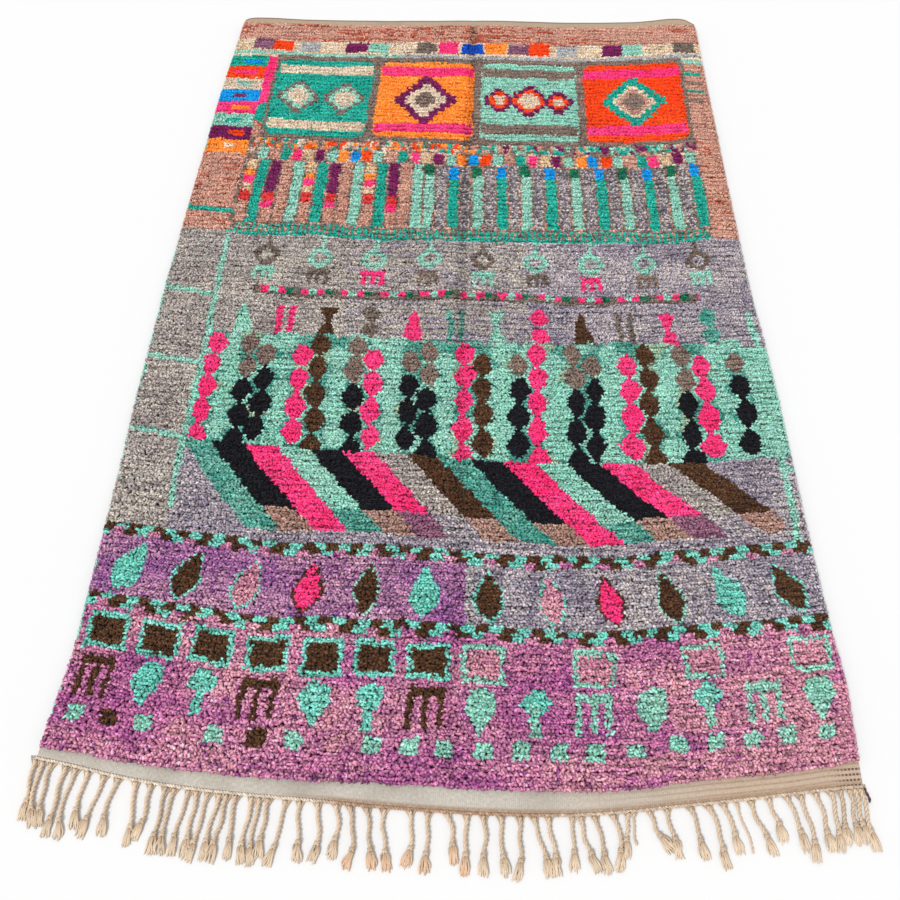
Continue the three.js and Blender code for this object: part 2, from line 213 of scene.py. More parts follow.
def cloud(x, y, size, seed):
    """Smooth patches of about this size, from -1 to 1, on a random grid that repeats"""
    many = 64
    draw = np.random.default_rng(seed).uniform(-1, 1, (many, many))
    u, v = np.broadcast_arrays(np.asarray(x, float) / size, np.asarray(y, float) / size)
    i, j = np.floor(u).astype(int), np.floor(v).astype(int)
    s, t = ease(u - i), ease(v - j)
    left, right, near, far = i % many, (i + 1) % many, j % many, (j + 1) % many
    first = draw[left, near] * (1 - s) + draw[right, near] * s
    second = draw[left, far] * (1 - s) + draw[right, far] * s
    return first * (1 - t) + second * t


def read_table(rows, column, at):
    """Smooth values of one column of a table at places between its rows"""
    keys, values = np.array(rows, float)[:, (0, column)].T
    last = len(rows) - 1
    at = np.clip(at, keys[0], keys[last])
    i = np.clip(np.searchsorted(keys, at) - 1, 0, last - 1)
    every = np.arange(last + 1)
    before, after = np.maximum(every - 1, 0), np.minimum(every + 1, last)
    slope = (values[after] - values[before]) / (keys[after] - keys[before])
    span = keys[i + 1] - keys[i]
    t = (at - keys[i]) / span
    rise = ease(t)
    lead = t * (1 - t) ** 2 * span * slope[i]
    trail = t * t * (1 - t) * span * slope[i + 1]
    return values[i] * (1 - rise) + values[i + 1] * rise + lead - trail


def place_on(share, y, inset):
    """x on the table at a share of the width, with both sides drawn in by the inset"""
    left = -HALF_WIDTH - read_table(SIDE_SWAY, LEFT, y) + inset
    right = HALF_WIDTH + read_table(SIDE_SWAY, RIGHT, y) - inset
    return left * (1 - share) + right * share


def along_rug(column, share, length):
    """y on the table at shares of the width and of the length, and y at the two ends there"""
    across = (share - 0.5) * 2 * HALF_WIDTH
    near = read_table(NEAR_END, column, across)
    far = read_table(FAR_END, column, across)
    return near * (1 - length) + far * length, near, far


def crease_share(x, y):
    """1 in the bottom of the crease, falling to 0 at its edges"""
    middle = CREASE["across"] + CREASE["sway"] * np.sin(y / 310)
    off = np.minimum(np.abs(x - middle) / CREASE["half"], 1)
    return 0.5 + 0.5 * np.cos(np.pi * off)


def pile_top(x, y):
    """Height of the top of the pile: soft lumps, and the trough of the crease"""
    lumps = np.sin(x / 61 + 2 * np.sin(y / 173)) + np.sin(y / 67 + 1.7 * np.sin(x / 149))
    return PILE_HIGH + 0.5 * LUMP_HIGH * lumps - CREASE["deep"] * crease_share(x, y)


def ridges(x, y):
    """The rows of knots, as wavy ridges across the pile from -1 to 1"""
    wavy = y + 8 * cloud(x, y, 140, 25) + 5 * cloud(x, y, 38, 26)
    return np.sin(2 * np.pi * wavy / ROW_PITCH)


class Chart:
    """The pattern, as the yarn of each knot. All places are columns and rows on the chart."""

    def __init__(self, column, row):
        self.column = column
        self.row = row
        self.yarn = np.zeros(column.shape, int)

    def lay(self, yarn, inside):
        """Lays a yarn at the chosen knots, over what was there"""
        self.yarn[inside] = YARN_NUMBER[yarn]

    def within(self, left, right, top, bottom):
        """Which knots lie in a box"""
        across = (self.column >= left) & (self.column < right)
        return across & (self.row >= top) & (self.row < bottom)

    def band(self, yarn, top, bottom, left=0, right=COLUMNS):
        """A band between two rows, or a block of it"""
        self.lay(yarn, self.within(left, right, top, bottom))

    def post(self, yarn, column, wide, top, bottom):
        """An upright bar round a column"""
        self.band(yarn, top, bottom, column - wide / 2, column + wide / 2)

    def slant(self, yarn, top, bottom):
        """A four-sided patch from (left, right, row) at its top to the same at its bottom"""
        rows = (top[2], bottom[2])
        left = np.interp(self.row, rows, (top[0], bottom[0]))
        right = np.interp(self.row, rows, (top[1], bottom[1]))
        self.band(yarn, *rows, left, right)

    def bead(self, yarn, column, top, bottom, half, round_off=1.5):
        """A lozenge, whose sides bulge with a larger round_off until it is nearly a box"""
        aside = np.abs(self.column - column) / half
        along = np.abs(self.row - (top + bottom) / 2) / ((bottom - top) / 2)
        self.lay(yarn, aside**round_off + along**round_off < 1)

    def panel(self, yarn, left, right, top, bottom):
        """A box with rounded corners"""
        self.bead(yarn, (left + right) / 2, top, bottom, (right - left) / 2, 14)

    def steps(self, yarn, column, row, half):
        """A lozenge with stepped sides"""
        tread = 2.0
        aside = np.floor(np.abs(self.column - column) / tread) * tread
        along = np.floor(np.abs(self.row - row) / tread) * tread
        self.lay(yarn, aside / half + along / half < 1)

    def comb(self, yarn, column, half, top, bottom):
        """A bar with three tines under it"""
        self.band(yarn, top, top + 2, column - half, column + half)
        for side in (-1, 0, 1):
            self.post(yarn, column + side * (half - 0.8), 1.5, top, bottom)

    def leaf(self, yarn, tip, tail, wide, rim):
        """A leaf from its pointed tip to its rounder tail, with a thin rim of another yarn"""
        start, end = np.array(tip) * SQUARE, np.array(tail) * SQUARE
        long = np.linalg.norm(end - start)
        run = (end - start) / long
        off = self.column * SQUARE[0] - start[0], self.row * SQUARE[1] - start[1]
        along = off[0] * run[0] + off[1] * run[1]
        aside = np.abs(off[0] * run[1] - off[1] * run[0])
        for name, past in ((rim, 6), (yarn, 0)):
            share = np.clip((along + past) / (long + 2 * past), 0, 1)
            half = (wide * SQUARE[0] / 2 + past) * np.sin(np.pi * share**1.35) ** 0.8
            self.lay(name, aside < half)

    def drop(self, yarn, column, top, bottom, wide):
        """A drop with a wide top and its point down"""
        self.bead(yarn, column, top, top + 7, wide / 2, 2.4)
        self.slant(yarn, (column - wide / 2, column + wide / 2, top + 3.6),
                   (column - 0.6, column + 0.6, bottom))

    def spread(self, yarns, inside, turn):
        """Lays yarns by turns, from a whole number at each knot"""
        self.yarn[inside] = np.array([YARN_NUMBER[yarn] for yarn in yarns])[turn % len(yarns)]

    def dashes(self, yarns, top, bottom, left=0, right=COLUMNS, *, long, start=0.0):
        """Dashes of each yarn in turn"""
        inside = self.within(left, right, top, bottom)
        step = np.floor((self.column[inside] - left) / long + start)
        self.spread(yarns, inside, step.astype(int))

    def speckle(self, yarns, top, bottom, left=0, right=COLUMNS, *, long, deep=0.7):
        """Small dashes of many yarns, drawn at random along each line"""
        inside = self.within(left, right, top, bottom)
        line = np.floor(self.row[inside] / deep)
        step = np.floor((self.column[inside] + 9 * noise(line)) / long)
        draw = 0.4999 * (1 + noise(line * 57 + step * 13)) * len(yarns)
        self.spread(yarns, inside, draw.astype(int))

    def streak(self, yarn, share, top, bottom, left=0, right=COLUMNS, *, long):
        """Streaks of a yarn, drawn at random over a share of a patch"""
        line = np.floor(self.row * 1.4)
        step = np.floor((self.column + 9 * noise(line + 3)) / long)
        drawn = 0.5 + 0.5 * noise(line * 31 + step * 17 + 5) < share
        self.lay(yarn, self.within(left, right, top, bottom) & drawn)


def hand_drift(column, row):
    """The chart's place of a knot, once its rows have tilted and wandered on the loom"""
    arch = np.sqrt(np.clip(np.sin(np.pi * row / ROWS), 0, 1))
    tilt = column / COLUMNS * (2.6 * arch + 4.2 * np.exp(-(((row - 176) / 15) ** 2)))
    wander = 0.9 * cloud(column, row, 24, 61) * arch + 0.35 * cloud(column, row, 6, 62)
    sway = 0.8 * cloud(column, row, 30, 63) + 0.35 * cloud(column, row, 5, 64)
    return column + sway, row - tilt + wander


# The pattern is this script's own drawing of the kinds of band, border and lozenge that such
# rugs traditionally have. Loops space the motifs, and each list below is a repeat. Numbers in
# the drawing functions are columns and rows, as on squared paper.
FAR_BLOCKS = [
    "plum_grey", "red_orange", "silver", None, "plum", "mint", None, "slate", "pink", "royal", "orange",
]
SIDE_BLOCKS = ["teal", "red_orange", "cream", "blue", "pink", "mint", "plum", "orange"]
SMALL_BLOCKS = ["mint", "salmon", "teal", "pink", "tan", "plum", "mint", "orange", "blue", "red_orange"]


def in_turn(items, number):
    """The item that a repeat has reached at this number"""
    return items[number % len(items)]


def draw_far_border(chart):
    """A salmon border streaked with rust, and a row of plain blocks on cream"""
    chart.band("salmon", -PAST, 11)
    chart.streak("rust", 0.10, -PAST, 11, long=7)
    chart.streak("rust", 0.25, 2, 9, 50, 130, long=2.4)
    chart.band("cream", 10, 20)
    chart.streak("tan", 0.3, 10, 20, long=6)
    for number in range(19):
        yarn = in_turn(FAR_BLOCKS, number)
        left = 7 + 9.7 * number + 1.2 * noise(number)
        if yarn:
            chart.band(yarn, 10.4 + noise(number + 40), 15.8, left, left + 8.6)
    chart.band("mint", 16.8, PANELS_TOP, 0, 70)
    chart.band("silver", 16.8, PANELS_TOP, 70, COLUMNS)


def draw_sides(chart):
    """A column of blocks down the left side, bars on the right, and a salmon stretch on both"""
    for first, last in ((0, FIELD[0]), (FIELD[1], COLUMNS + PAST)):
        chart.band("salmon", 54, GREY_TOP, first, last)
        chart.streak("rust", 0.10, 54, GREY_TOP, first, last, long=5)
    chart.band("salmon", 22, 60, FIELD[1], COLUMNS + PAST)
    for number, yarn in enumerate(SIDE_BLOCKS):
        top = 20 + 6.2 * number
        chart.band(yarn, top, top + 6.2, 0, 16)
        second = in_turn(SIDE_BLOCKS, number + 3)
        chart.band(second, top + 2.2, top + 4.2, 5 + 2 * noise(number), 12 + 2 * noise(number + 9))
    chart.band("pink", 20, 45, 16, FIELD[0])
    chart.band("teal", 45, 54, 16, FIELD[0])
    for number in range(4):
        chart.band("taupe" if number % 2 else "teal", 27 + 4.4 * number, 28.4 + 4.4 * number, 185, 192)


# Framed panels: the field, two lines across it, the rings of each stepped lozenge from the
# outside, and where the lozenges stand as shares of the panel's width, each with its half width
PANELS = [
    {"field": "teal", "lines": "cream",
     "rings": ["taupe", "mint", "cream"], "stands": [(0.28, 8), (0.72, 8)]},
    {"field": "orange", "lines": "pink", "rings": ["plum", "cream", "taupe"], "stands": [(0.5, 10.5)]},
    {"field": "mint", "lines": "taupe",
     "rings": ["plum", "red_orange", "cream"], "stands": [(0.22, 6), (0.5, 8), (0.78, 6)]},
    {"field": "red_orange", "lines": "pink",
     "rings": ["teal", "cream", "salmon", "taupe"], "stands": [(0.5, 10.5)]},
]
PANEL_WIDE = 41.4


def draw_panels(chart):
    """Four framed panels with stepped lozenges"""
    chart.band("taupe", PANELS_TOP, DASHES_TOP + 0.4, *FIELD)
    for number, panel in enumerate(PANELS):
        left = FIELD[0] + PANEL_WIDE * number
        right = left + PANEL_WIDE
        inner = left + 1.4, right - 1.4
        chart.panel(panel["field"], *inner, 20.8, 59.4)
        for top in (23.5, 52):
            chart.band(panel["lines"], top, top + 4.6, inner[0] + 0.4, inner[1] - 0.4)
        for share, half in panel["stands"]:
            for ring, yarn in enumerate(panel["rings"]):
                size = half * (1 - ring / len(panel["rings"]))
                chart.steps(yarn, left + share * PANEL_WIDE, 40.2, size)


def draw_speckled_rows(chart):
    """A row of short upright dashes of many yarns, and a row of small blocks under it"""
    chart.band("taupe", DASHES_TOP, STRIPES_TOP, 16, FIELD[1])
    warm = ["orange", "teal", "salmon", "red_orange", "cream", "taupe"]
    cool = ["teal", "mint", "plum", "taupe", "salmon"]
    for yarns, left, right in ((warm, 18, 105), (cool, 105, 185)):
        chart.speckle(yarns, DASHES_TOP + 0.4, 65.4, left, right, long=1.25, deep=2.2)
    dull = ["taupe", "salmon", "taupe", "cream", "salmon"]
    chart.speckle(dull, 65.4, STRIPES_TOP, 16, FIELD[1], long=1.5)
    for number in range(37):
        left = 20 + 4.45 * number + 0.4 * noise(number + 7)
        chart.band(in_turn(SMALL_BLOCKS, number), 66, 71, left, left + 3.4)


# Upright stripes, warm ones on the left and cool ones on the right: the yarns down each, with
# the share of the length where each ends
WARM_STRIPES = [
    [("tan", 0.18), ("orange", 0.27), ("pink", 0.38), ("tan", 0.5), ("red", 0.66), ("salmon", 1)],
    [("teal", 1)],
    [("plum", 0.52), ("red", 0.66), ("pink", 0.76), ("salmon", 1)],
    [("salmon", 1)],
    [("mint", 1)],
]
COOL_STRIPES = [
    [("pepper", 1)],
    [("blue", 0.2), ("teal", 1)],
    [("pepper", 1)],
    [("green", 0.16), ("mint", 1)],
]


def draw_stripes(chart):
    """A row of upright stripes, and a comb of short lines under it"""
    chart.speckle(["taupe", "salmon", "taupe", "taupe"], STRIPES_TOP, GREY_TOP, 16, FIELD[1], long=1.1)
    for number in range(38):
        left = 17.5 + 4.42 * number
        repeat = WARM_STRIPES if number < 15 else COOL_STRIPES
        start = STRIPES_TOP
        for yarn, share in in_turn(repeat, number):
            end = STRIPES_TOP + (COMB_TOP - STRIPES_TOP) * share
            chart.band(yarn, start, end, left, left + 3.6)
            start = end
    chart.speckle(["taupe", "taupe", "salmon"], COMB_TOP, GREY_TOP, 16, FIELD[1], long=1.1)
    for column in np.arange(19, 184, 2.05):
        chart.post("teal", column, 1.1, COMB_TOP + 0.6, 102.4)
    chart.band("teal", 102, GREY_TOP, 16, FIELD[1])
    chart.band("teal", 93.5, 95.4, 0, 17)


def draw_ladders(chart):
    """Thin mint ladders on the plain margins"""
    for column, rungs in ((17.2, range(104, 196, 23)), (191, range(130, 222, 23))):
        chart.post("mint", column, 2, rungs[0], rungs[-1] + 20)
        outer = 0 if column < COLUMNS / 2 else COLUMNS + PAST
        for row in rungs[1:]:
            chart.band("mint", row, row + 1.6, min(outer, column), max(outer, column))


def draw_figure(chart, kind, column, yarn):
    """One of four small figures: a wedge, a pair of bars, an hourglass or two lozenges"""
    top, middle, bottom = 129, 134.3, 139.5
    if kind == 0:
        chart.slant(yarn, (column - 0.6, column + 0.6, top), (column - 3.4, column + 3.4, bottom))
    elif kind == 1:
        for side in (-1.9, 1.9):
            chart.post(yarn, column + side, 1.8, top, bottom)
    elif kind == 2:
        chart.slant(yarn, (column - 3, column + 3, top), (column - 0.7, column + 0.7, middle))
        chart.slant(yarn, (column - 0.7, column + 0.7, middle), (column - 3, column + 3, bottom))
    else:
        for start in (top - 1, top + 5):
            chart.bead(yarn, column, start, start + 6, 3)


# The grey field's sprigs, each with a stem and a foot, and its small figures
SPRIG_YARNS = [("slate", "mint"), ("mint", "slate"), ("mint", "pink"), ("mint", "taupe")]
FIGURE_YARNS = ["mint", "pink", "brown", "slate", "pink", "sea"]


def draw_grey_field(chart):
    """A quiet field: hollow lozenges on stems over combs, a dashed line and small figures"""
    end = CHAINS_TOP + 2
    chart.band("grey", GREY_TOP, LEAVES_TOP + 1, 0, 17)
    chart.band("grey", GREY_TOP, end, 17, 120)
    chart.band("lilac", GREY_TOP, end, 120)
    chart.streak("lilac", 0.4, GREY_TOP, end, 60, 120, long=6)
    for number in range(9):
        column = 32 + 18.3 * number
        stem, foot = in_turn(SPRIG_YARNS, number)
        chart.post(stem, column, 1.3, GREY_TOP, 108)
        chart.bead(stem, column, 106.6, 114.4, 4.4)
        chart.bead("grey" if column < 120 else "lilac", column, 108.6, 112.4, 2.4)
        chart.comb(foot, column, 3.6, 114.8, 120)
    chart.dashes(["slate", "pink", "mint", "pink", "green"], 122.4, 124.4, 30, 176, long=2.6)
    chart.band("slate", 124.4, 125.4, 30, 176)
    for number in range(12):
        yarn = in_turn(FIGURE_YARNS, number)
        draw_figure(chart, number % 4, 28 + 13.6 * number, yarn)


# Chains of lozenges, over a ground of quieter ones
CHAIN_YARNS = ["pink", "mint", "black", "black", "mint", "pink", "brown", "mint", "black"]
QUIET_YARNS = ["mint", "sea", "mint", "pale_green", "mint", "sea", "mint"]


def draw_chains(chart):
    """Chains of lozenges hung side by side, every second chain set half a lozenge lower"""
    chart.band("sea", CHAINS_TOP, SLANTS_TOP, 17.5, 186)
    before = chart.yarn.copy()
    for number, column in enumerate(np.arange(20, 189, 5.8)):
        for step, start in enumerate(np.arange(136 + 3.3 * (number % 2), 176, 6.6)):
            yarn = in_turn(QUIET_YARNS, int(abs(noise(number * 7 + step)) * 97))
            chart.bead(yarn, column, start, start + 7.2, 3.5, 1.35)
    for number, column in enumerate(np.arange(20.6, 186, 5.6)):
        yarn = in_turn(CHAIN_YARNS, number)
        chart.post(yarn, column, 1.5, 151, 172)
        for top in np.arange(139.4 + 3.6 * (number % 2), 170, 7.3):
            shown = "taupe" if yarn == "black" and top < 149 else yarn
            wide = 3.2 + 0.3 * noise(number * 5 + top)
            chart.bead(shown, column + 0.4 * noise(number + top), top, top + 7.2, wide)
    outside = ~chart.within(17.5, 186, CHAINS_TOP - 1, SLANTS_TOP)
    chart.yarn[outside] = before[outside]


# Slanting stripes: the yarn, and the yarn of its foot
SLANTS = [
    ("sea", "sea"), ("black", "fawn"), ("pink", "pink"), ("mint", "sea"), ("black", "fawn"),
    ("pink", "plum_grey"), ("grey", "lilac"), ("brown", "fawn"),
]


def draw_slants(chart):
    """Slanting stripes, and the lilac strip under them"""
    chart.band("lilac", SLANTS_TOP, LEAVES_TOP + 1, 17)
    for number in range(16):
        left = 16 + 9.5 * number
        body, foot = in_turn(SLANTS, number)
        chart.slant(body, (left, left + 9.5, SLANTS_TOP), (left + 17, left + 26.5, 190))
        chart.slant(foot, (left + 17, left + 26.5, 190), (left + 23, left + 32.5, 196))
    chart.band("lilac", SLANTS_TOP, LEAVES_TOP + 1, 188, 191)


# Leaves: the yarn and the yarn of its rim
LEAVES = [
    ("turquoise", "turquoise"), ("brown", "turquoise"), ("rose", "turquoise"), ("pink", "brown"),
    ("brown", "mint"),
]


def draw_leaf_row(chart):
    """A dashed border above and below a row of leaves, which fan out from the middle"""
    chart.band("violet", LEAVES_TOP + 2, NEAR_BORDER_TOP - 0.8, 0, 100)
    chart.band("lilac", LEAVES_TOP + 2, NEAR_BORDER_TOP - 0.8, 100)
    for top in (LEAVES_TOP, 216.6):
        chart.dashes(["brown", "turquoise"], top, top + 1.6, long=3.4)
        chart.dashes(["turquoise", "mauve", "brown"], top + 1.6, top + 3.2, long=3.4, start=0.4)
    for number in range(12):
        column = 9.5 + 16 * number
        lean = (column - COLUMNS / 2) * 0.035
        yarn, rim = in_turn(LEAVES, number)
        chart.leaf(yarn, (column - lean, 203.8), (column + lean, 215.2), 6.2, rim)


def draw_near_border(chart):
    """A wide mauve border: framed boxes, then drops, combs and spindles, then small blocks"""
    chart.band("mauve", NEAR_BORDER_TOP, ROWS + PAST)
    chart.speckle(["mauve", "rose", "rose"], 224, ROWS + PAST, 150, long=9, deep=4)
    for number in range(14):
        column = 7.5 + 13.8 * number
        crowded = column < 95
        rim, inside = ("turquoise", "brown") if crowded else ("mint", "rose")
        if crowded or number % 2:
            chart.band(rim, 221, 229, column - 5.4, column + 5.4)
            chart.band(inside, 222.2, 227.8, column - 4.2, column + 4.2)
        if number % 3 == 0:
            chart.comb("brown" if crowded else "mint", column, 4.4, 230.4, 239)
        elif number % 3 == 1:
            chart.drop("turquoise" if crowded else "mint", column, 230, 239.4, 7.4)
        else:
            chart.bead("turquoise", column, 229.6, 235.6, 3.6)
            chart.post(rim, column, 2.4, 233, 239.6)
    for number in range(21):
        yarn = ["mint", "brown", "mint", "rose"][number % 4] if number < 9 else "mint"
        left = 3 + 9.1 * number + 0.5 * noise(number + 70)
        chart.band(yarn, 240.8, 244, left, left + 4.2)
    chart.streak("rose", 0.5, 244, ROWS + PAST, 120, long=5)


# The order in which the bands are drawn, from the far end
DRAWINGS = [
    draw_far_border, draw_sides, draw_panels, draw_speckled_rows, draw_stripes, draw_grey_field,
    draw_chains, draw_slants, draw_ladders, draw_leaf_row, draw_near_border,
]


class RugPile(bpy.types.PropertyGroup):
    across: IntProperty(name="Tufts across", description="Tufts in one row", default=254, min=20)
    along: IntProperty(name="Rows of tufts", description="Rows from end to end", default=410, min=20)
    strips: IntProperty(name="Strips", description="Pieces that the pile is made in", default=5, min=1)
    tuft_wide: FloatProperty(
        name="Tuft", description="Half the width of a tuft", default=0.0050, unit="LENGTH")
    loose: FloatProperty(
        name="Looseness", description="How far tufts stray from their rows", default=0.0018,
        unit="LENGTH")
    nap: FloatProperty(
        name="Nap", description="How far tufts lean towards the near end", default=0.0018,
        unit="LENGTH")


class RugFringe(bpy.types.PropertyGroup):
    ply: FloatProperty(name="Ply", description="Radius of one ply", default=0.0024, unit="LENGTH")
    twist: FloatProperty(
        name="Twist", description="Length of one turn of the plies", default=0.018, unit="LENGTH")
    yarns: IntProperty(name="Yarns", description="Loose yarns in one tassel", default=12, min=2)


class RugStage(bpy.types.PropertyGroup):
    lens: FloatProperty(name="Lens", description="Focal length in millimetres", default=40.0)
    soft_light: FloatProperty(name="Soft light", description="Light from all round", default=0.74)
    key_light: FloatProperty(name="Key light", description="Light from above", default=2.42)
    floor: FloatVectorProperty(
        name="Floor", description="Colour of the floor", subtype="COLOR", size=3,
        default=(0.74, 0.74, 0.74))


# One tuft stands from its root, over a ring at its widest, to its tip. Each kind of point
# takes its own share of the tuft's lean.
ROOT, RING, TIP = 0, 1, 2
LEAN_SHARES = np.array([0.0, 0.3, 1.0])
RING_SIDES = 4
ROOT_HIGH = 3.0
RING_DROP = 5.2

# How far the pile keeps inside the weave, and how much lower it is round its rim and higher on
# the ridge of each row
PILE_INSET = 2.5
RIM_DROP = 2.5
RIDGE_HIGH = 1.2

# The dye: how far a knot's blend strays in plain and in tweed yarn, how far its tone and its
# hue stray, and how much of the second, mostly darker colour shows in the depth of the pile as
# painted shade
BLEND_STRAY = 0.26
TWEED_STRAY = 0.8
TONE_STRAY = 0.11
HUE_STRAY = 0.05
DEEP_SHARE = 0.45

# Tips are lighter than their yarn as a painted highlight, and some get an extra painted highlight
TIP_LIGHT = 1.28
TIP_HIGHLIGHT = 0.22
PILE_SEED = 5


def points_of(mesh):
    """The places of all the points of a mesh"""
    return np.array([point.co for point in mesh.vertices])


def corners_of(mesh):
    """The point at each corner of the mesh's faces"""
    corner = np.empty(len(mesh.loops), np.int32)
    mesh.loops.foreach_get("vertex_index", corner)
    return corner


def fill(items, name, values):
    """Sets a value of all points, corners or colours of a mesh at once"""
    items.foreach_set(name, np.asarray(values, np.float32).ravel())


def model_tuft():
    """Models one tuft as a pointed cone with its foot drawn down. Returns its points, its faces
    and the kind of each point."""
    bpy.ops.object.select_all(action="DESELECT")
    bpy.ops.mesh.primitive_cone_add(
        vertices=RING_SIDES, radius1=1, radius2=0, depth=1, end_fill_type="TRIFAN",
        location=(0, 0, 0.5))
    tuft = bpy.context.object
    bpy.ops.object.transform_apply(location=True)
    bpy.ops.object.mode_set(mode="EDIT")
    bpy.ops.mesh.select_all(action="DESELECT")
    mesh = bmesh.from_edit_mesh(tuft.data)
    for point in mesh.verts:
        point.select_set(point.co.z < 0.5 and point.co.xy.length < 0.5)
    mesh.select_flush_mode()
    bmesh.update_edit_mesh(tuft.data)
    bpy.ops.transform.translate(value=(0, 0, -1))
    bpy.ops.object.mode_set(mode="OBJECT")
    points = points_of(tuft.data)
    faces = np.array([list(face.vertices) for face in tuft.data.polygons])
    kinds = np.where(points[:, 2] > 0.5, TIP, np.where(points[:, 2] < -0.5, ROOT, RING))
    bpy.data.meshes.remove(tuft.data)
    return points, faces, kinds


def make_piece(name, points, faces, material):
    """A new piece from points in metres and faces, each a row of its points' numbers"""
    mesh = bpy.data.meshes.new(name)
    sizes = np.array([len(face) for face in faces])
    corners = np.concatenate(faces)
    mesh.vertices.add(len(points))
    fill(mesh.vertices, "co", points)
    mesh.loops.add(len(corners))
    mesh.loops.foreach_set("vertex_index", corners.astype(np.int32))
    mesh.polygons.add(len(sizes))
    mesh.polygons.foreach_set("loop_start", (np.cumsum(sizes) - sizes).astype(np.int32))
    mesh.update(calc_edges=True)
    mesh.shade_smooth()
    piece = bpy.data.objects.new(name, mesh)
    bpy.context.scene.collection.objects.link(piece)
    mesh.materials.append(material)
    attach(piece, "root")
    return piece


def dye_and_map(piece, colours, places):
    """Gives a piece its colour at each point and its place on a flat map at each corner"""
    dye = piece.data.color_attributes.new("yarn_colour", "FLOAT_COLOR", "POINT")
    fill(dye.data, "color", np.c_[colours, np.ones(len(colours))])
    fill(piece.data.uv_layers.new(name="OFBake").uv, "vector", places)


def to_frame(x, y, z):
    """Metres in the frame from millimetres on the table"""
    return np.stack([np.asarray(x) - ORIGIN[0], np.asarray(y) - ORIGIN[1], z], -1) * MM


def on_table(place):
    """x and y in millimetres on the table from metres in the frame"""
    return place[:, 0] / MM + ORIGIN[0], place[:, 1] / MM + ORIGIN[1]


def shagginess(x, y):
    """Loose and shaggy near the fringe and on the left, in clear rows far off and on the right"""
    share = 0.95 - 0.55 * np.clip(y / 1500, 0, 1) - 0.16 * np.clip(x / HALF_WIDTH, -1, 1)
    return np.clip(share + 0.25 * cloud(x, y, 230, 41), 0.25, 1.1)


def yarn_colours(yarn, x, y, rng):
    """The colour of each knot and of its depth: its yarn, with the second colour blended in by
    patches, the lighter and darker of hand dyeing, painted light on the ridge of each row, and
    painted shade between rows and in the crease"""
    plain = linear([kind.colour for kind in YARNS.values()])[yarn]
    fleck = linear([kind.fleck for kind in YARNS.values()])[yarn]
    drift = linear([kind.drift for kind in YARNS.values()])[yarn]
    flecked = np.array([kind.flecked for kind in YARNS.values()])[yarn]
    patch = 0.5 + 0.7 * cloud(x, y * 2.2, 210, 11) + 0.4 * cloud(x, y * 3, 85, 17)
    patch = np.clip(patch, 0, 1)[:, None]
    colour = plain * (1 - patch) + drift * patch
    usual = flecked * (1 + 0.8 * cloud(x, y * 1.8, 62, 12) + 0.9 * cloud(x, y, 24, 16))
    stray = np.where(flecked >= TWEED_SHARE, TWEED_STRAY, BLEND_STRAY)
    blend = np.clip(rng.normal(usual, stray), 0, 1)[:, None]
    colour = colour * (1 - blend) + fleck * blend

    shaggy = shagginess(x, y)
    ridge = ridges(x, y)
    broken = np.clip(0.9 + 1.7 * cloud(x, y, 22, 15), 0, 2)
    far_off = np.clip((y - 1500) / 800, 0, 1)
    # Painted shade in the valleys between rows, in broken patches, less where shaggy and far off
    valley_shade = np.clip(-ridge - 0.5, 0, 1) * broken * (1.3 - 0.8 * shaggy) * (1 - 0.45 * far_off)
    # Painted shade along the crease, stronger further along the rug
    crease_shade = (0.18 + 0.22 * np.clip((y - 700) / 600, 0, 1)) * crease_share(x, y)
    # The row tone is partly the yarn's own, lighter and darker by rows, and partly painted light on
    # each ridge and painted shade in the valleys and the crease
    row_tone_and_shade = 0.04 + 0.05 * cloud(x * 0.12, y, 9, 13) + 0.06 * cloud(x, y, 45, 14)
    row_tone_and_shade = row_tone_and_shade + 0.10 * ridge - valley_shade - crease_shade
    tone = row_tone_and_shade + rng.normal(0, TONE_STRAY, len(yarn)) * (0.5 + 0.6 * shaggy)
    tone = np.exp(tone)[:, None]
    hue = np.exp(rng.normal(0, HUE_STRAY, (len(yarn), 3)))
    # The depth's colour takes more of the second, mostly darker colour, as painted shade
    return colour * tone * hue, ((1 - DEEP_SHARE) * colour + DEEP_SHARE * fleck) * tone


class Knots(NamedTuple):
    """All knots: their numbers across and along, their shares of the width and the length, their
    places on the table, how shaggy the pile is there, which way those at the sides face, and
    which are in the first and the last row"""
    i: np.ndarray
    j: np.ndarray
    share: np.ndarray
    length: np.ndarray
    x: np.ndarray
    y: np.ndarray
    shaggy: np.ndarray
    outward: np.ndarray
    first: np.ndarray
    last: np.ndarray


def lay_knots(sizes, rng):
    """Knots in rows that wander, with every second row set half a knot to the side"""
    i, j = [grid.ravel() for grid in np.meshgrid(np.arange(sizes.across), np.arange(sizes.along))]
    outward = np.where(i == sizes.across - 1, 1.0, np.where(i == 0, -1.0, 0.0))
    side = outward != 0
    share = (i + np.where(side, 0.5, 0.25 + 0.5 * (j % 2))) / sizes.across
    length = (j + 0.5) / sizes.along
    y = along_rug(PILE, share, length)[0]
    x = place_on(share, y, PILE_INSET)
    shaggy = shagginess(x, y)
    loose = sizes.loose / MM
    x = x + rng.normal(0, 0.55, len(x)) * loose * np.where(side, 0.3, 0.6 + 0.4 * shaggy)
    y = y + rng.normal(0, 0.50, len(x)) * loose * (0.5 + 0.5 * shaggy)
    y = y + 1.1 * cloud(x, j * 55.0, 40, 21) + 2.0 * cloud(x, y, 170, 22)
    y = y + (1.5 + 5 * np.clip(x / HALF_WIDTH, 0, 1)) * np.exp(-j / 8)
    return Knots(i, j, share, length, x, y, shaggy, outward, j == 0, j == sizes.along - 1)


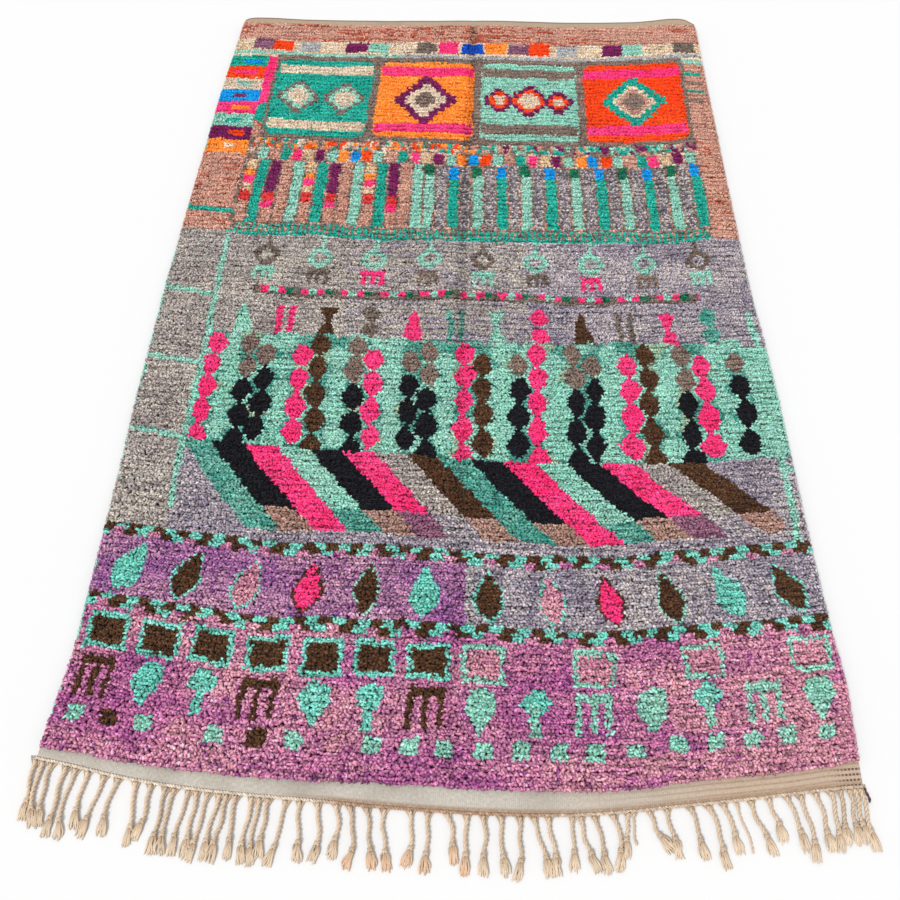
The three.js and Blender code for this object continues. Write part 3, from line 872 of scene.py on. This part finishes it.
def charted_yarns(knots, rng):
    """The yarn of each knot, from the chart, with the frayed edges of hand knotting"""
    column, row = hand_drift(knots.share * COLUMNS, (1 - knots.length) * ROWS)
    column = column + 0.10 * rng.normal(size=len(column)) + 0.22 * noise(knots.j * 3 + knots.i // 9)
    chart = Chart(column, row + 0.08 * rng.normal(size=len(row)))
    for draw in DRAWINGS:
        draw(chart)
    return chart.yarn


def turned(a, b, angle):
    """Places round each tuft's middle, turned by its own angle"""
    c, s = np.cos(angle)[:, None], np.sin(angle)[:, None]
    return a * c - b * s, a * s + b * c


def shape_tufts(knots, sizes, points, kinds, rng):
    """The place of each point of each tuft: spun, drawn long and thin, leant and cut to height"""
    x, y, shaggy = knots.x, knots.y, knots.shaggy
    count = len(x)
    spin = rng.uniform(0, 2 * np.pi, count)
    wide = sizes.tuft_wide / MM * rng.uniform(0.9, 1.15, count) * (1 + 0.12 * shaggy)
    stretch = np.exp(rng.uniform(0.05, 0.45, count))
    axis = rng.normal(0, 0.30 + 0.60 * shaggy) + 1.8 * cloud(x, y, 26, 24)
    axis = np.where(knots.outward != 0, np.pi / 2, axis)
    high = pile_top(x, y) + rng.normal(0, 1.0, count) * (0.5 + 0.5 * shaggy)
    high = high + RIDGE_HIGH * ridges(x, y) * (1.1 - 0.6 * shaggy)
    lean_x = rng.normal(0, 1.7, count) * (0.4 + shaggy) + 2.0 * cloud(x, y, 30, 31)
    lean_y = rng.normal(0, 1.5, count) * (0.4 + shaggy) + 2.0 * cloud(x, y, 30, 32)
    lean_y = lean_y - sizes.nap / MM

    side_lean = knots.outward * rng.uniform(0.6, 1.4, count)
    lean_x = np.where(knots.outward != 0, side_lean, lean_x)
    lean_y = np.where(knots.first, -rng.uniform(0.5, 3.0, count), lean_y)
    lean_y = np.where(knots.last, rng.uniform(0, 2.5, count), lean_y)
    rim = (knots.outward != 0) | knots.first | knots.last
    high = high - np.where(rim, RIM_DROP, 0)

    a, b = turned(points[None, :, 0], points[None, :, 1], spin)
    a, b = turned(a * (wide * stretch)[:, None], b * (wide / stretch)[:, None], axis)
    lean = LEAN_SHARES[kinds][None]
    ring_high = high - RING_DROP * rng.uniform(0.7, 1.1, count)
    heights = np.stack([np.full(count, ROOT_HIGH), ring_high, high], 1)[:, kinds]
    heights = heights + np.where(kinds == RING, rng.normal(0, 0.6, (count, len(points))), 0)
    return to_frame(
        x[:, None] + a + lean * lean_x[:, None], y[:, None] + b + lean * lean_y[:, None], heights)


def tint_tufts(colour, deep, shaggy, kinds, rng):
    """The colour of each point of each tuft: its root in the depth's colour, its ring darker as
    painted shade, and its tip lighter as a painted highlight
    """
    tip_highlight = rng.uniform(0, TIP_HIGHLIGHT, len(colour))[:, None]
    # Roots in the depth's colour, rings darker as painted shade, tips lighter as a painted highlight
    tips = TIP_LIGHT * colour + tip_highlight * np.sqrt(colour)
    tints = np.stack([deep, deep * (0.74 + 0.2 * deep), tips], 1)[:, kinds]
    uneven = 0.09 + 0.09 * shaggy[:, None, None]
    tints = tints * np.exp(rng.normal(0, 1, (len(colour), len(kinds), 1)) * uneven)
    return np.clip(tints, 0, 0.97)


def map_tuft(points, faces, kinds):
    """The corners of one tuft on its square of a flat map, with its top beside its foot"""
    top = (kinds[faces] == TIP).any(1)[:, None, None]
    flat = points[faces][:, :, :2]
    cell = np.where(top, (0.31, 0.5) + flat * (0.30, 0.48), (0.82, 0.5) + flat * (0.16, 0.48))
    return cell.reshape(-1, 2)


def make_pile(material):
    """The knotted pile: one tuft, copied to every knot, in strips from end to end"""
    sizes = bpy.context.scene.rug_pile
    rng = np.random.default_rng(PILE_SEED)
    knots = lay_knots(sizes, rng)
    colour, deep = yarn_colours(charted_yarns(knots, rng), knots.x, knots.y, rng)
    points, faces, kinds = model_tuft()
    place = shape_tufts(knots, sizes, points, kinds, rng)
    tints = tint_tufts(colour, deep, knots.shaggy, kinds, rng)
    cell = map_tuft(points, faces, kinds)
    strip = knots.i * sizes.strips // sizes.across
    for number in range(sizes.strips):
        mine = np.flatnonzero(strip == number)
        order = np.arange(len(mine))
        square = math.ceil(math.sqrt(len(mine)))
        corner = np.stack([order % square, order // square], 1)
        places = (corner[:, None, :] + cell[None]) / square
        all_faces = (faces[None] + (order * len(points))[:, None, None]).reshape(-1, 3)
        name = f"pile_strip_{number + 1}"
        piece = make_piece(name, place[mine].reshape(-1, 3), all_faces, material)
        dye_and_map(piece, tints[mine].reshape(-1, 3), places.reshape(-1, 2))
        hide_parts("rug_cloth")


# The ground weave's mesh, with close rows over a short share of its length at both ends, and
# how far it keeps inside the outline
WEAVE_COLUMNS = 110
END_ROWS = 8
MIDDLE_ROWS = 36
END_SHARE = 0.03
WEAVE_INSET = 0.8


def weave_rows():
    """Shares of the length at which the ground has its rows, close together at both ends"""
    near = np.linspace(0, END_SHARE, END_ROWS, endpoint=False)
    middle = np.linspace(END_SHARE, 1 - END_SHARE, MIDDLE_ROWS, endpoint=False)
    far = np.linspace(1 - END_SHARE, 1, END_ROWS + 1)
    return np.concatenate([near, middle, far])


def make_ground(material):
    """The ground weave: a grid shaped to the outline and given its thickness"""
    lengths = weave_rows()
    rows = len(lengths) - 1
    bpy.ops.object.select_all(action="DESELECT")
    bpy.ops.mesh.primitive_grid_add(x_subdivisions=WEAVE_COLUMNS, y_subdivisions=rows, size=2)
    ground = bpy.context.object
    ground.name = ground.data.name = "ground_weave"
    mesh = ground.data
    flat = points_of(mesh)
    share = (flat[:, 0] + 1) / 2
    step = np.rint((flat[:, 1] + 1) / 2 * rows).astype(int)
    length = lengths[step]
    y, near, far = along_rug(WEAVE, share, length)
    x = place_on(share, y, WEAVE_INSET)
    fill(mesh.vertices, "co", to_frame(x, y, np.zeros(len(x))))

    from_near, from_far = (y - near) * MM, (far - y) * MM
    run = np.where(length < 0.5, from_near, LENGTH * MM - from_far)
    weave = mesh.uv_layers.new(name="weave")
    fill(weave.uv, "vector", np.stack([x * MM, run], 1)[corners_of(mesh)])

    thick = ground.modifiers.new("Thickness", "SOLIDIFY")
    thick.thickness = WEB_THICK * MM
    thick.offset = 1
    bpy.ops.object.modifier_apply(modifier=thick.name)
    mesh.shade_flat()
    mesh.materials.append(material)
    lay_softly(mesh)
    map_both_sides(mesh)
    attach(ground, "root")
    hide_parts("rug_cloth")
    return ground


def lay_softly(mesh):
    """Soft waves in the top of the weave, and the crease down its middle"""
    place = points_of(mesh)
    top = place[:, 2] > 0.5 * WEB_THICK * MM
    x, y = on_table(place)
    wave = 0.45 * cloud(x, y, 55, 51) - crease_share(x, y)
    place[:, 2] += np.where(top, wave, 0) * MM
    fill(mesh.vertices, "co", place)


def map_both_sides(mesh):
    """A flat map with the top on one half and the underside on the other, its ends at full size"""
    x, y = on_table(points_of(mesh)[corners_of(mesh)])
    margin = 25
    share = np.clip((x + HALF_WIDTH + margin) / (2 * (HALF_WIDTH + margin)), 0, 1)
    length = np.interp(y, [-80, 40, 2480, 2590], [0.0, 0.4, 0.6, 1.0])
    under = np.repeat(
        [face.normal.z < -0.5 for face in mesh.polygons],
        [face.loop_total for face in mesh.polygons])
    half = np.where(under, 0.505, 0.005) + 0.49 * share
    fill(mesh.uv_layers.new(name="OFBake").uv, "vector", np.stack([half, length], 1))


def directions(line):
    """Which way a line of points runs at each of them"""
    run = np.gradient(line, axis=0)
    return run / np.linalg.norm(run, axis=1)[:, None]


class Yarns:
    """Collects tubes of yarn, each with a colour and its own strip of a flat map"""

    def __init__(self, strips):
        self.strips = strips
        self.strip = 0
        self.points, self.faces, self.colours, self.places = [], [], [], []

    def add_tube(self, line, radius, colour, sides):
        """A closed tube along a line of points in millimetres, with a radius and colour at each"""
        line = np.asarray(line, float)
        count = len(line)
        radius = np.broadcast_to(radius, count)
        colour = np.broadcast_to(colour, (count, 3))
        run = directions(line)
        side = np.cross(run[0], (0, 0, 1.0))
        if np.linalg.norm(side) < 0.1:
            side = np.array([1.0, 0, 0])
        base = sum(len(part) for part in self.points)
        turns = 2 * np.pi * np.arange(sides) / sides
        for k in range(count):
            side = side - run[k] * side.dot(run[k])
            side /= np.linalg.norm(side)
            up = np.cross(side, run[k])
            ring = line[k] + radius[k] * (np.outer(np.cos(turns), side) + np.outer(np.sin(turns), up))
            self.points.append(ring)
            self.colours.append(np.repeat(colour[k][None], sides, 0))
        share = np.linspace(0, 1, count)
        wide = 1.0 / self.strips
        for k in range(count - 1):
            for n in range(sides):
                a, b = base + k * sides + n, base + k * sides + (n + 1) % sides
                self.faces.append([a, b, b + sides, a + sides])
                left = (self.strip + 0.1 + 0.8 * n / sides) * wide
                right = (self.strip + 0.1 + 0.8 * (n + 1) / sides) * wide
                self.places += [
                    (left, share[k]), (right, share[k]), (right, share[k + 1]), (left, share[k + 1])]
        middle = (self.strip + 0.5) * wide
        for end, order in ((0, -1), (count - 1, 1)):
            cap = [base + end * sides + n for n in range(sides)]
            spots = [
                (middle + 0.3 * wide * math.cos(t), share[end] + 0.004 * math.sin(t)) for t in turns]
            self.faces.append(cap[::order])
            self.places += spots[::order]

    def make(self, name, material):
        """One piece of all the tubes"""
        place = to_frame(*np.concatenate(self.points).T)
        piece = make_piece(name, place, self.faces, material)
        colours = np.clip(np.concatenate(self.colours), 0, 0.95)
        dye_and_map(piece, colours, np.clip(self.places, 0, 1))
        return piece


# The fringe's wools. Cords left of the first place across the rug are paler, by so many steps
# of colour, and those from there to the second have warmer tufts.
PALE_UNTIL = -180
PALER = 8
WARM_UNTIL = 50
CORD_COLOUR = (202, 180, 156)
TUFT_COLOUR = (216, 196, 172)
# The tassels' core, darker near the knot as painted shade
CORE_SHADE_COLOUR = (182, 156, 128)
WARM_TUFT_COLOUR = (218, 186, 158)
DARK_COLOUR = (92, 62, 58)
TWINE_PALE = (206, 192, 174)
TWINE_BROWN = (168, 138, 114)

# The loose end of a cord past its knot, and of a thin cord without one
TASSEL_LONG = 33
THIN_END = 4

# The lengths of twine, as shares of the width, and the strips of the fringe's flat map: one for
# each cord, for the selvedge's end and for each length of twine, and two to spare
TWINE_LENGTHS = ((0.0, 0.34), (0.34, 0.7), (0.7, 1.0))
MAP_STRIPS = len(CORDS) + 1 + len(TWINE_LENGTHS) + 2
FRINGE_SEED = 17


def cord_line(cord, share):
    """Places down the middle of a cord, at shares of its length from the twine"""
    start = read_table(NEAR_END, WEAVE, cord.root) - TWINE["gap"] - TWINE["wide"] / 2
    run = cord.reach + TWINE["wide"] / 2
    middle = (cord.root + cord.lean / 2 + cord.bow, start - run / 2)
    tip = (cord.root + cord.lean, start - run)
    t = np.asarray(share)[:, None]
    return (
        np.array([cord.root, start]) * (1 - t) * (1 - 2 * t)
        + np.array(middle) * 4 * t * (1 - t)
        + np.array(tip) * t * (2 * t - 1)
    )


def twist_plies(yarns, line, ply, turn, colour, rng):
    """Two plies wound round each other along a line of places in millimetres"""
    step = np.linalg.norm(np.diff(line, axis=0), axis=1)
    far = np.concatenate([[0], np.cumsum(step)])
    run = directions(line)
    side = np.stack([-run[:, 1], run[:, 0], np.zeros(len(run))], 1)
    phase = rng.uniform(0, 2 * np.pi)
    for half in (0, 0.5):
        angle = 2 * np.pi * (far / turn + half) + phase
        off = side * np.cos(angle)[:, None] + np.outer(np.sin(angle), (0, 0, 1))
        tone = np.exp(rng.normal(0, 0.03) + rng.normal(0, 0.03, len(line)))
        yarns.add_tube(line + ply * 0.80 * off, ply, linear(colour) * tone[:, None], 5)


def add_knot(yarns, place, run, ply, colour, rng):
    """An overhand knot: two turns of thicker ply round the cord, one across the other"""
    side = np.array([-run[1], run[0], 0])
    up = np.array([0, 0, 1.0])
    thick = ply * 1.05
    for slope in (0.55, -0.55):
        turns = np.linspace(0, 2 * np.pi, 11)
        ring = place + 3.6 * (np.outer(np.cos(turns), side) + 0.82 * np.outer(np.sin(turns), up))
        ring += np.outer(np.cos(turns) * slope * 4.5, run)
        ring += np.outer(np.linspace(-1.5, 1.5, len(turns)), run)
        ring[:, 2] = np.maximum(ring[:, 2], thick)
        yarns.add_tube(ring, thick, linear(colour) * rng.uniform(0.86, 1.0), 5)


def add_tassel(yarns, place, run, count, long, colour, rng):
    """Loose yarns that fan out from a knot"""
    side = np.array([-run[1], run[0], 0])
    for number in range(count):
        fan = (number / (count - 1) - 0.5) * 2 + rng.normal(0, 0.12)
        reach = long * rng.uniform(0.82, 1.08)
        t = np.linspace(0, 1, 6)
        curl = rng.normal(0, 1.8) * np.sin(np.pi * t) + rng.normal(0, 1.3) * np.sin(2 * np.pi * t)
        aside = fan * (2.4 + 5.6 * t**0.7) + curl
        high = 3.0 * (1 - t) + 1.25 + rng.uniform(0, 2.4) * np.sin(np.pi * t * 0.8)
        line = place + np.outer(reach * t - 2, run) + np.outer(aside, side)
        line[:, 2] = high
        # Painted shade: each yarn is darkest by the knot and takes its own colour further out
        mix = np.clip(t * 1.6, 0, 1)[:, None]
        tint = linear(CORE_SHADE_COLOUR) * (1 - mix) + linear(colour) * mix
        yarns.add_tube(line, [1.5, 1.7, 1.8, 1.8, 1.5, 0.7], tint * rng.uniform(0.86, 1.08), 4)


def add_root(yarns, cord, colour, rng):
    """Warp yarns that gather from the edge of the weave into the head of the cord"""
    many, spread = (3, 4) if cord.thin else (6, 11)
    foot = cord_line(cord, [0.16])[0]
    t = np.linspace(0, 1, 5)
    bend = ease(t)
    high = 1.6 + 1.8 * np.sin(np.pi * t * 0.6)
    for number in range(many):
        fan = (number / (many - 1) - 0.5) * 2
        start = cord.root + fan * spread + rng.normal(0, 1.0)
        edge = read_table(NEAR_END, WEAVE, start) + 1.0
        x = start * (1 - bend) + (foot[0] + fan * 2.2) * bend
        y = edge * (1 - t) + foot[1] * t
        line = np.stack([x, y, high], 1)
        yarns.add_tube(line, 1.25, linear(colour) * rng.uniform(0.85, 1.0), 4)


def add_cord(yarns, cord, sizes, rng):
    """One cord, with the warps at its head, and its knot and tassel unless it is a thin one"""
    dark = cord is SELVEDGE_END
    ply = sizes.ply / MM * rng.uniform(0.93, 1.07) * (0.62 if cord.thin else 1)
    end = THIN_END if cord.thin else TASSEL_LONG
    colour = np.array(DARK_COLOUR if dark else CORD_COLOUR) + rng.normal(0, 4) * (not dark)
    colour = colour + (PALER if cord.root < PALE_UNTIL else 0)
    long = cord.reach + TWINE["wide"] / 2
    share = np.arange(0.04, (long - end) / long, 2.2 / long)
    line = np.c_[cord_line(cord, share), np.zeros(len(share))]
    waves = np.sin(np.linspace(0, rng.uniform(4, 9), len(share)) + rng.uniform(0, 6))
    line[:, 0] += 1.9 * waves * np.sin(np.pi * share) ** 0.5
    line[:, 2] = ply * 1.95 + np.interp(share, [0, 0.12, 0.4, 1], [0.9, 0.6, 0, 0])
    twist_plies(yarns, line, ply, sizes.twist / MM, colour, rng)
    if not dark:
        add_root(yarns, cord, colour, rng)
    if cord.thin:
        return
    run = line[-1] - line[-3]
    run = run / np.linalg.norm(run)
    add_knot(yarns, line[-1] - run * 1.5, run, ply, colour * 0.97, rng)
    tip = WARM_TUFT_COLOUR if PALE_UNTIL < cord.root < WARM_UNTIL else TUFT_COLOUR
    add_tassel(yarns, line[-1], run, sizes.yarns, end + 2, tip, rng)


def add_twine(yarns, rng):
    """Two yarns twined along the edge of the weave, brown in the middle, in three lengths"""
    start, finish = -HALF_WIDTH - 1, HALF_WIDTH + TWINE["past"] - 2
    for first, last in TWINE_LENGTHS:
        yarns.strip += 1
        x = np.arange(start + (finish - start) * first, start + (finish - start) * last, 2.6)
        y = read_table(NEAR_END, WEAVE, x) - TWINE["wide"] / 2 + 0.5
        line = np.stack([x, y, np.full(len(x), TWINE["high"])], 1)
        brown = np.clip((x + 250) / 60, 0, 1) * np.clip((300 - x) / 150, 0.35, 1)
        colour = linear(np.outer(1 - brown, TWINE_PALE) + np.outer(brown, TWINE_BROWN))
        for phase in (0, np.pi):
            angle = 2 * np.pi * x / TWINE["turn"] + phase
            wound = line + np.stack([0 * x, 1.85 * np.cos(angle), 0.9 * np.sin(angle)], 1)
            tone = np.exp(rng.normal(0, 0.2, len(x)))[:, None]
            yarns.add_tube(wound, TWINE["yarn"], colour * tone, 5)


def make_fringe(material):
    """The fringe: plied cords with a knot and a tassel each, held in a twined strip"""
    sizes = bpy.context.scene.rug_fringe
    rng = np.random.default_rng(FRINGE_SEED)
    yarns = Yarns(MAP_STRIPS)
    for number, cord in enumerate([*CORDS, SELVEDGE_END]):
        yarns.strip = number
        add_cord(yarns, cord, sizes, rng)
    add_twine(yarns, rng)
    piece = yarns.make("fringe", material)
    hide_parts("fringe_cords")


class Maths:
    """A socket that works out sums with Math nodes"""

    def __init__(self, paint, socket):
        self.paint, self.socket = paint, socket

    def __add__(self, other):
        return self.paint.maths("ADD", self, other)

    def __sub__(self, other):
        return self.paint.maths("SUBTRACT", self, other)

    def __rsub__(self, other):
        return self.paint.maths("SUBTRACT", other, self)

    def __mul__(self, other):
        return self.paint.maths("MULTIPLY", self, other)

    def above(self, edge, soft):
        """0 below an edge and 1 above it, with a soft step"""
        return self.paint.maths("MULTIPLY_ADD", self - edge, 1 / soft, 0.5, use_clamp=True)

    def waves(self, pitch, shift=0.0):
        """Even waves from -1 to 1"""
        return self.paint.maths("SINE", self * (2 * math.pi / pitch) + shift)

    def output(self, number):
        """Another output of the same node"""
        return Maths(self.paint, self.socket.node.outputs[number])


class Paint:
    """Builds one material's nodes"""

    def __init__(self, name):
        self.material = bpy.data.materials.new(name)
        self.material.use_nodes = True
        self.tree = self.material.node_tree
        self.shader = self.tree.nodes["Principled BSDF"]

    def node(self, kind, settings=None, output=0, **values):
        """A node of a kind, with its settings made first and then its sockets, by name or number"""
        node = self.tree.nodes.new(kind)
        for name, value in (settings or {}).items():
            setattr(node, name, value)
        for name, value in values.items():
            place = int(name[1:]) if name.startswith("_") else name.replace("_", " ")
            self.feed(node.inputs[place], value)
        return Maths(self, node.outputs[output])

    def feed(self, socket, value):
        """Links a socket to another one, or sets its value"""
        if isinstance(value, Maths):
            self.tree.links.new(value.socket, socket)
        else:
            socket.default_value = value

    def maths(self, operation, *values, use_clamp=False):
        settings = {"operation": operation, "use_clamp": use_clamp}
        return self.node("ShaderNodeMath", settings, **{f"_{i}": v for i, v in enumerate(values)})

    def mix(self, share, first, second, blend="MIX"):
        """Two colours mixed by a share, which are this node's sockets 6 and 7"""
        settings = {"data_type": "RGBA", "blend_type": blend}
        return self.node("ShaderNodeMix", settings, 2, _0=share, _6=first, _7=second)

    def noise(self, place, scale, detail):
        return self.node("ShaderNodeTexNoise", Vector=place, Scale=scale, Detail=detail)

    def shaded(self, colour, share):
        """A colour times a share"""
        grey = self.node("ShaderNodeCombineColor", _0=share, _1=share, _2=share)
        return self.mix(1.0, colour, grey, "MULTIPLY")

    def bump(self, height, distance, strength):
        return self.node("ShaderNodeBump", Height=height, Distance=distance, Strength=strength)

    def finish(self, **values):
        """Feeds the shader and returns the material"""
        for name, value in values.items():
            self.feed(self.shader.inputs[name.replace("_", " ")], value)
        return self.material

    def wool(self, colour, normal):
        """Matt wool with a faint soft sheen"""
        return self.finish(
            Base_Color=colour, Normal=normal, Roughness=0.95, Sheen_Weight=0.05,
            Sheen_Roughness=0.5, Specular_IOR_Level=0.08)


def colour_of(colour):
    """A colour in steps from 0 to 255, as a socket takes it"""
    return (*linear(colour), 1.0)


def yarn_wool(name, scale, spread, lowest, distance, strength):
    """Wool in its yarns' own colours, shaded and roughened by fibres of this scale"""
    paint = Paint(name)
    place = paint.node("ShaderNodeTexCoord", output=3)
    fibres = paint.noise(place, scale, 3.0)
    yarn = paint.node("ShaderNodeAttribute", {"attribute_name": "yarn_colour"})
    shade = fibres * spread + lowest
    return paint.wool(paint.shaded(yarn, shade), paint.bump(fibres, distance, strength))


def pile_material():
    """Knotted wool, with the painted light and shade of curly locks"""
    return yarn_wool("pile_wool", 300.0, 2.3, -0.15, 0.0022, 1.0)


def cord_material():
    """Undyed plied wool with fine fibres"""
    return yarn_wool("cord_wool", 700.0, 0.5, 0.75, 0.0006, 0.7)


# The flat weave: the dark and the light of its wools, its marks, and the pitch of its threads
# and lines. Its material is laid out in metres across and along.
WEAVE_WOOLS = {
    "ivory": ((160, 153, 142), (218, 212, 200)),
    "beige": ((168, 146, 126), (210, 190, 168)),
    "far": ((150, 127, 104), (196, 175, 152)),
}
# The weave's own marks, and the painted shade that darkens the weave under the pile
WEAVE_MARKS = {
    "lines": (138, 110, 92), "soil": (136, 124, 110), "hem": (112, 86, 64),
    "edge": (158, 128, 104), "dashes": (92, 60, 58), "shade_under_pile": (120, 90, 100),
}
WEAVE_PITCH = {"ribs": 0.0036, "wefts": 0.0021, "lines": 0.0105, "dashes": 0.010, "stitches": 0.007}


def weave_material():
    """The flat weave: fine ribs, tan lines on the right, dark dashes at the right corner"""
    paint = Paint("flat_weave")
    place = paint.node("ShaderNodeUVMap", {"uv_map": "weave"})
    across = paint.node("ShaderNodeSeparateXYZ", Vector=place)
    along = across.output(1)
    ribs = across.waves(WEAVE_PITCH["ribs"])
    wefts = along.waves(WEAVE_PITCH["wefts"], ribs * 0.8)
    grain = paint.noise(place, 190.0, 4.0)
    patches = paint.noise(place, 9.0, 2.0)
    wool = {
        name: paint.mix(grain, colour_of(dark), colour_of(light))
        for name, (dark, light) in WEAVE_WOOLS.items()
    }
    right = across.above(0.36, 0.34)
    far = along.above(LENGTH * MM / 2, 0.01)
    colour = paint.mix(far, paint.mix(right, wool["ivory"], wool["beige"]), wool["far"])

    lines = along.waves(WEAVE_PITCH["lines"], patches * 4.0).above(0.45, 0.7)
    dashes = along.waves(WEAVE_PITCH["dashes"], 1.2).above(0.2, 0.3)
    stitches = across.waves(WEAVE_PITCH["stitches"]).above(-0.4, 0.6)
    corner = across.above(0.735, 0.03) * (1 - along.above(0.034, 0.002))
    edge = (1 - along.above(0.007, 0.005)) * across.above(-0.26, 0.12)
    # Painted shade under the pile: the weave there is dark plum, for the shaded gaps between tufts
    shade_under_pile = along.above(0.048, 0.004) * (1 - along.above((LENGTH - 52) * MM, 0.004))
    shares = {
        "lines": lines * right * (1 - far) * grain.above(0.46, 0.35) * 0.65,
        "soil": patches.above(0.56, 0.25) * (1 - right) * 0.35,
        "hem": along.above((LENGTH - 6) * MM, 0.004) * 0.8,
        "edge": edge * grain.above(0.40, 0.3) * 0.9,
        "dashes": dashes * corner * stitches * 0.85,
        "shade_under_pile": shade_under_pile,
    }
    for name, share in shares.items():
        colour = paint.mix(share, colour, colour_of(WEAVE_MARKS[name]))

    height = ribs * 0.15 + wefts * 0.5 + grain * 0.8
    # Painted light and shade of the ribs and wefts, lightening and darkening the colour along them
    thread_shade = ribs * 0.05 + wefts * 0.04 + 1.0
    return paint.wool(paint.shaded(colour, thread_shade), paint.bump(height, 0.0005, 0.8))


def floor_material(colour):
    """A matt plain floor"""
    return Paint("floor").finish(
        Base_Color=(*colour, 1.0), Roughness=0.9, Specular_IOR_Level=0.1)


class MakePile(bpy.types.Operator):
    """Ties the pile, knot by knot, in strips from end to end"""
    bl_idname = "rug.make_pile"
    bl_label = "Make pile"

    def execute(self, context):
        make_pile(pile_material())
        return {"FINISHED"}


class MakeGround(bpy.types.Operator):
    """Weaves the ground, with a flat-woven strip at each end"""
    bl_idname = "rug.make_ground"
    bl_label = "Make ground weave"

    def execute(self, context):
        ground = make_ground(weave_material())
        return {"FINISHED"}


class MakeFringe(bpy.types.Operator):
    """Plies, knots and lays out the fringe"""
    bl_idname = "rug.make_fringe"
    bl_label = "Make fringe"

    def execute(self, context):
        make_fringe(cord_material())
        return {"FINISHED"}


class MakeStage(bpy.types.Operator):
    """Sets up the floor, the lights and the camera"""
    bl_idname = "rug.make_stage"
    bl_label = "Make stage"

    def execute(self, context):
        make_stage(context.scene)
        return {"FINISHED"}


# Where the camera stands in metres and how it is turned in degrees, for the photo's own view
CAMERA_PLACE = (0.0262, -1.8217, 1.8708)
CAMERA_TURN = (36.336, 0.061, 1.704)

# The light from above: its turn and the width of its disc in degrees
KEY_TURN = (32, -24, 0)
KEY_WIDE = 20

FLOOR_WIDE = 40
FLOOR_DROP = 0.0005


def make_stage(scene):
    """A plain pale floor, soft light from all round and above, and the camera"""
    sizes = scene.rug_stage
    bpy.ops.object.select_all(action="DESELECT")
    bpy.ops.mesh.primitive_plane_add(size=FLOOR_WIDE, location=(0, 0, -FLOOR_DROP))
    floor = bpy.context.object
    floor.name = "floor"
    floor.data.materials.append(floor_material(sizes.floor))

    world = bpy.data.worlds.new("studio")
    world.use_nodes = True
    sky = world.node_tree.nodes["Background"]
    sky.inputs["Color"].default_value = (1, 1, 1, 1)
    sky.inputs["Strength"].default_value = sizes.soft_light
    scene.world = world
    scene.view_settings.view_transform = "Standard"

    bpy.ops.object.light_add(type="SUN", rotation=[math.radians(turn) for turn in KEY_TURN])
    key = bpy.context.object
    key.name = "key_light"
    key.data.energy = sizes.key_light
    key.data.angle = math.radians(KEY_WIDE)

    bpy.ops.object.camera_add(
        location=CAMERA_PLACE, rotation=[math.radians(turn) for turn in CAMERA_TURN])
    camera = bpy.context.object
    camera.name = "camera"
    camera.data.lens = sizes.lens
    camera.data.sensor_width = 36
    scene.camera = camera


class RugPanel(bpy.types.Panel):
    """Sizes and steps for the rug"""
    bl_idname = "VIEW3D_PT_rug"
    bl_label = "Knotted rug"
    bl_space_type = "VIEW_3D"
    bl_region_type = "UI"
    bl_category = "Rug"

    def draw(self, context):
        for group in (context.scene.rug_pile, context.scene.rug_fringe, context.scene.rug_stage):
            for name in group.__annotations__:
                self.layout.prop(group, name)
        for step in STEPS:
            self.layout.operator(step.bl_idname)


GROUPS = {"rug_pile": RugPile, "rug_fringe": RugFringe, "rug_stage": RugStage}
STEPS = [MakeStage, MakePile, MakeGround, MakeFringe]


def register():
    for kind in [*GROUPS.values(), *STEPS, RugPanel]:
        bpy.utils.register_class(kind)
    for name, kind in GROUPS.items():
        setattr(bpy.types.Scene, name, PointerProperty(type=kind))


def unregister():
    for name in GROUPS:
        delattr(bpy.types.Scene, name)
    for kind in reversed([*GROUPS.values(), *STEPS, RugPanel]):
        bpy.utils.unregister_class(kind)


def main():
    register()
    bpy.ops.rug.make_stage()
    bpy.ops.rug.make_pile()
    bpy.ops.rug.make_ground()
    bpy.ops.rug.make_fringe()


if __name__ == "__main__":
    main()
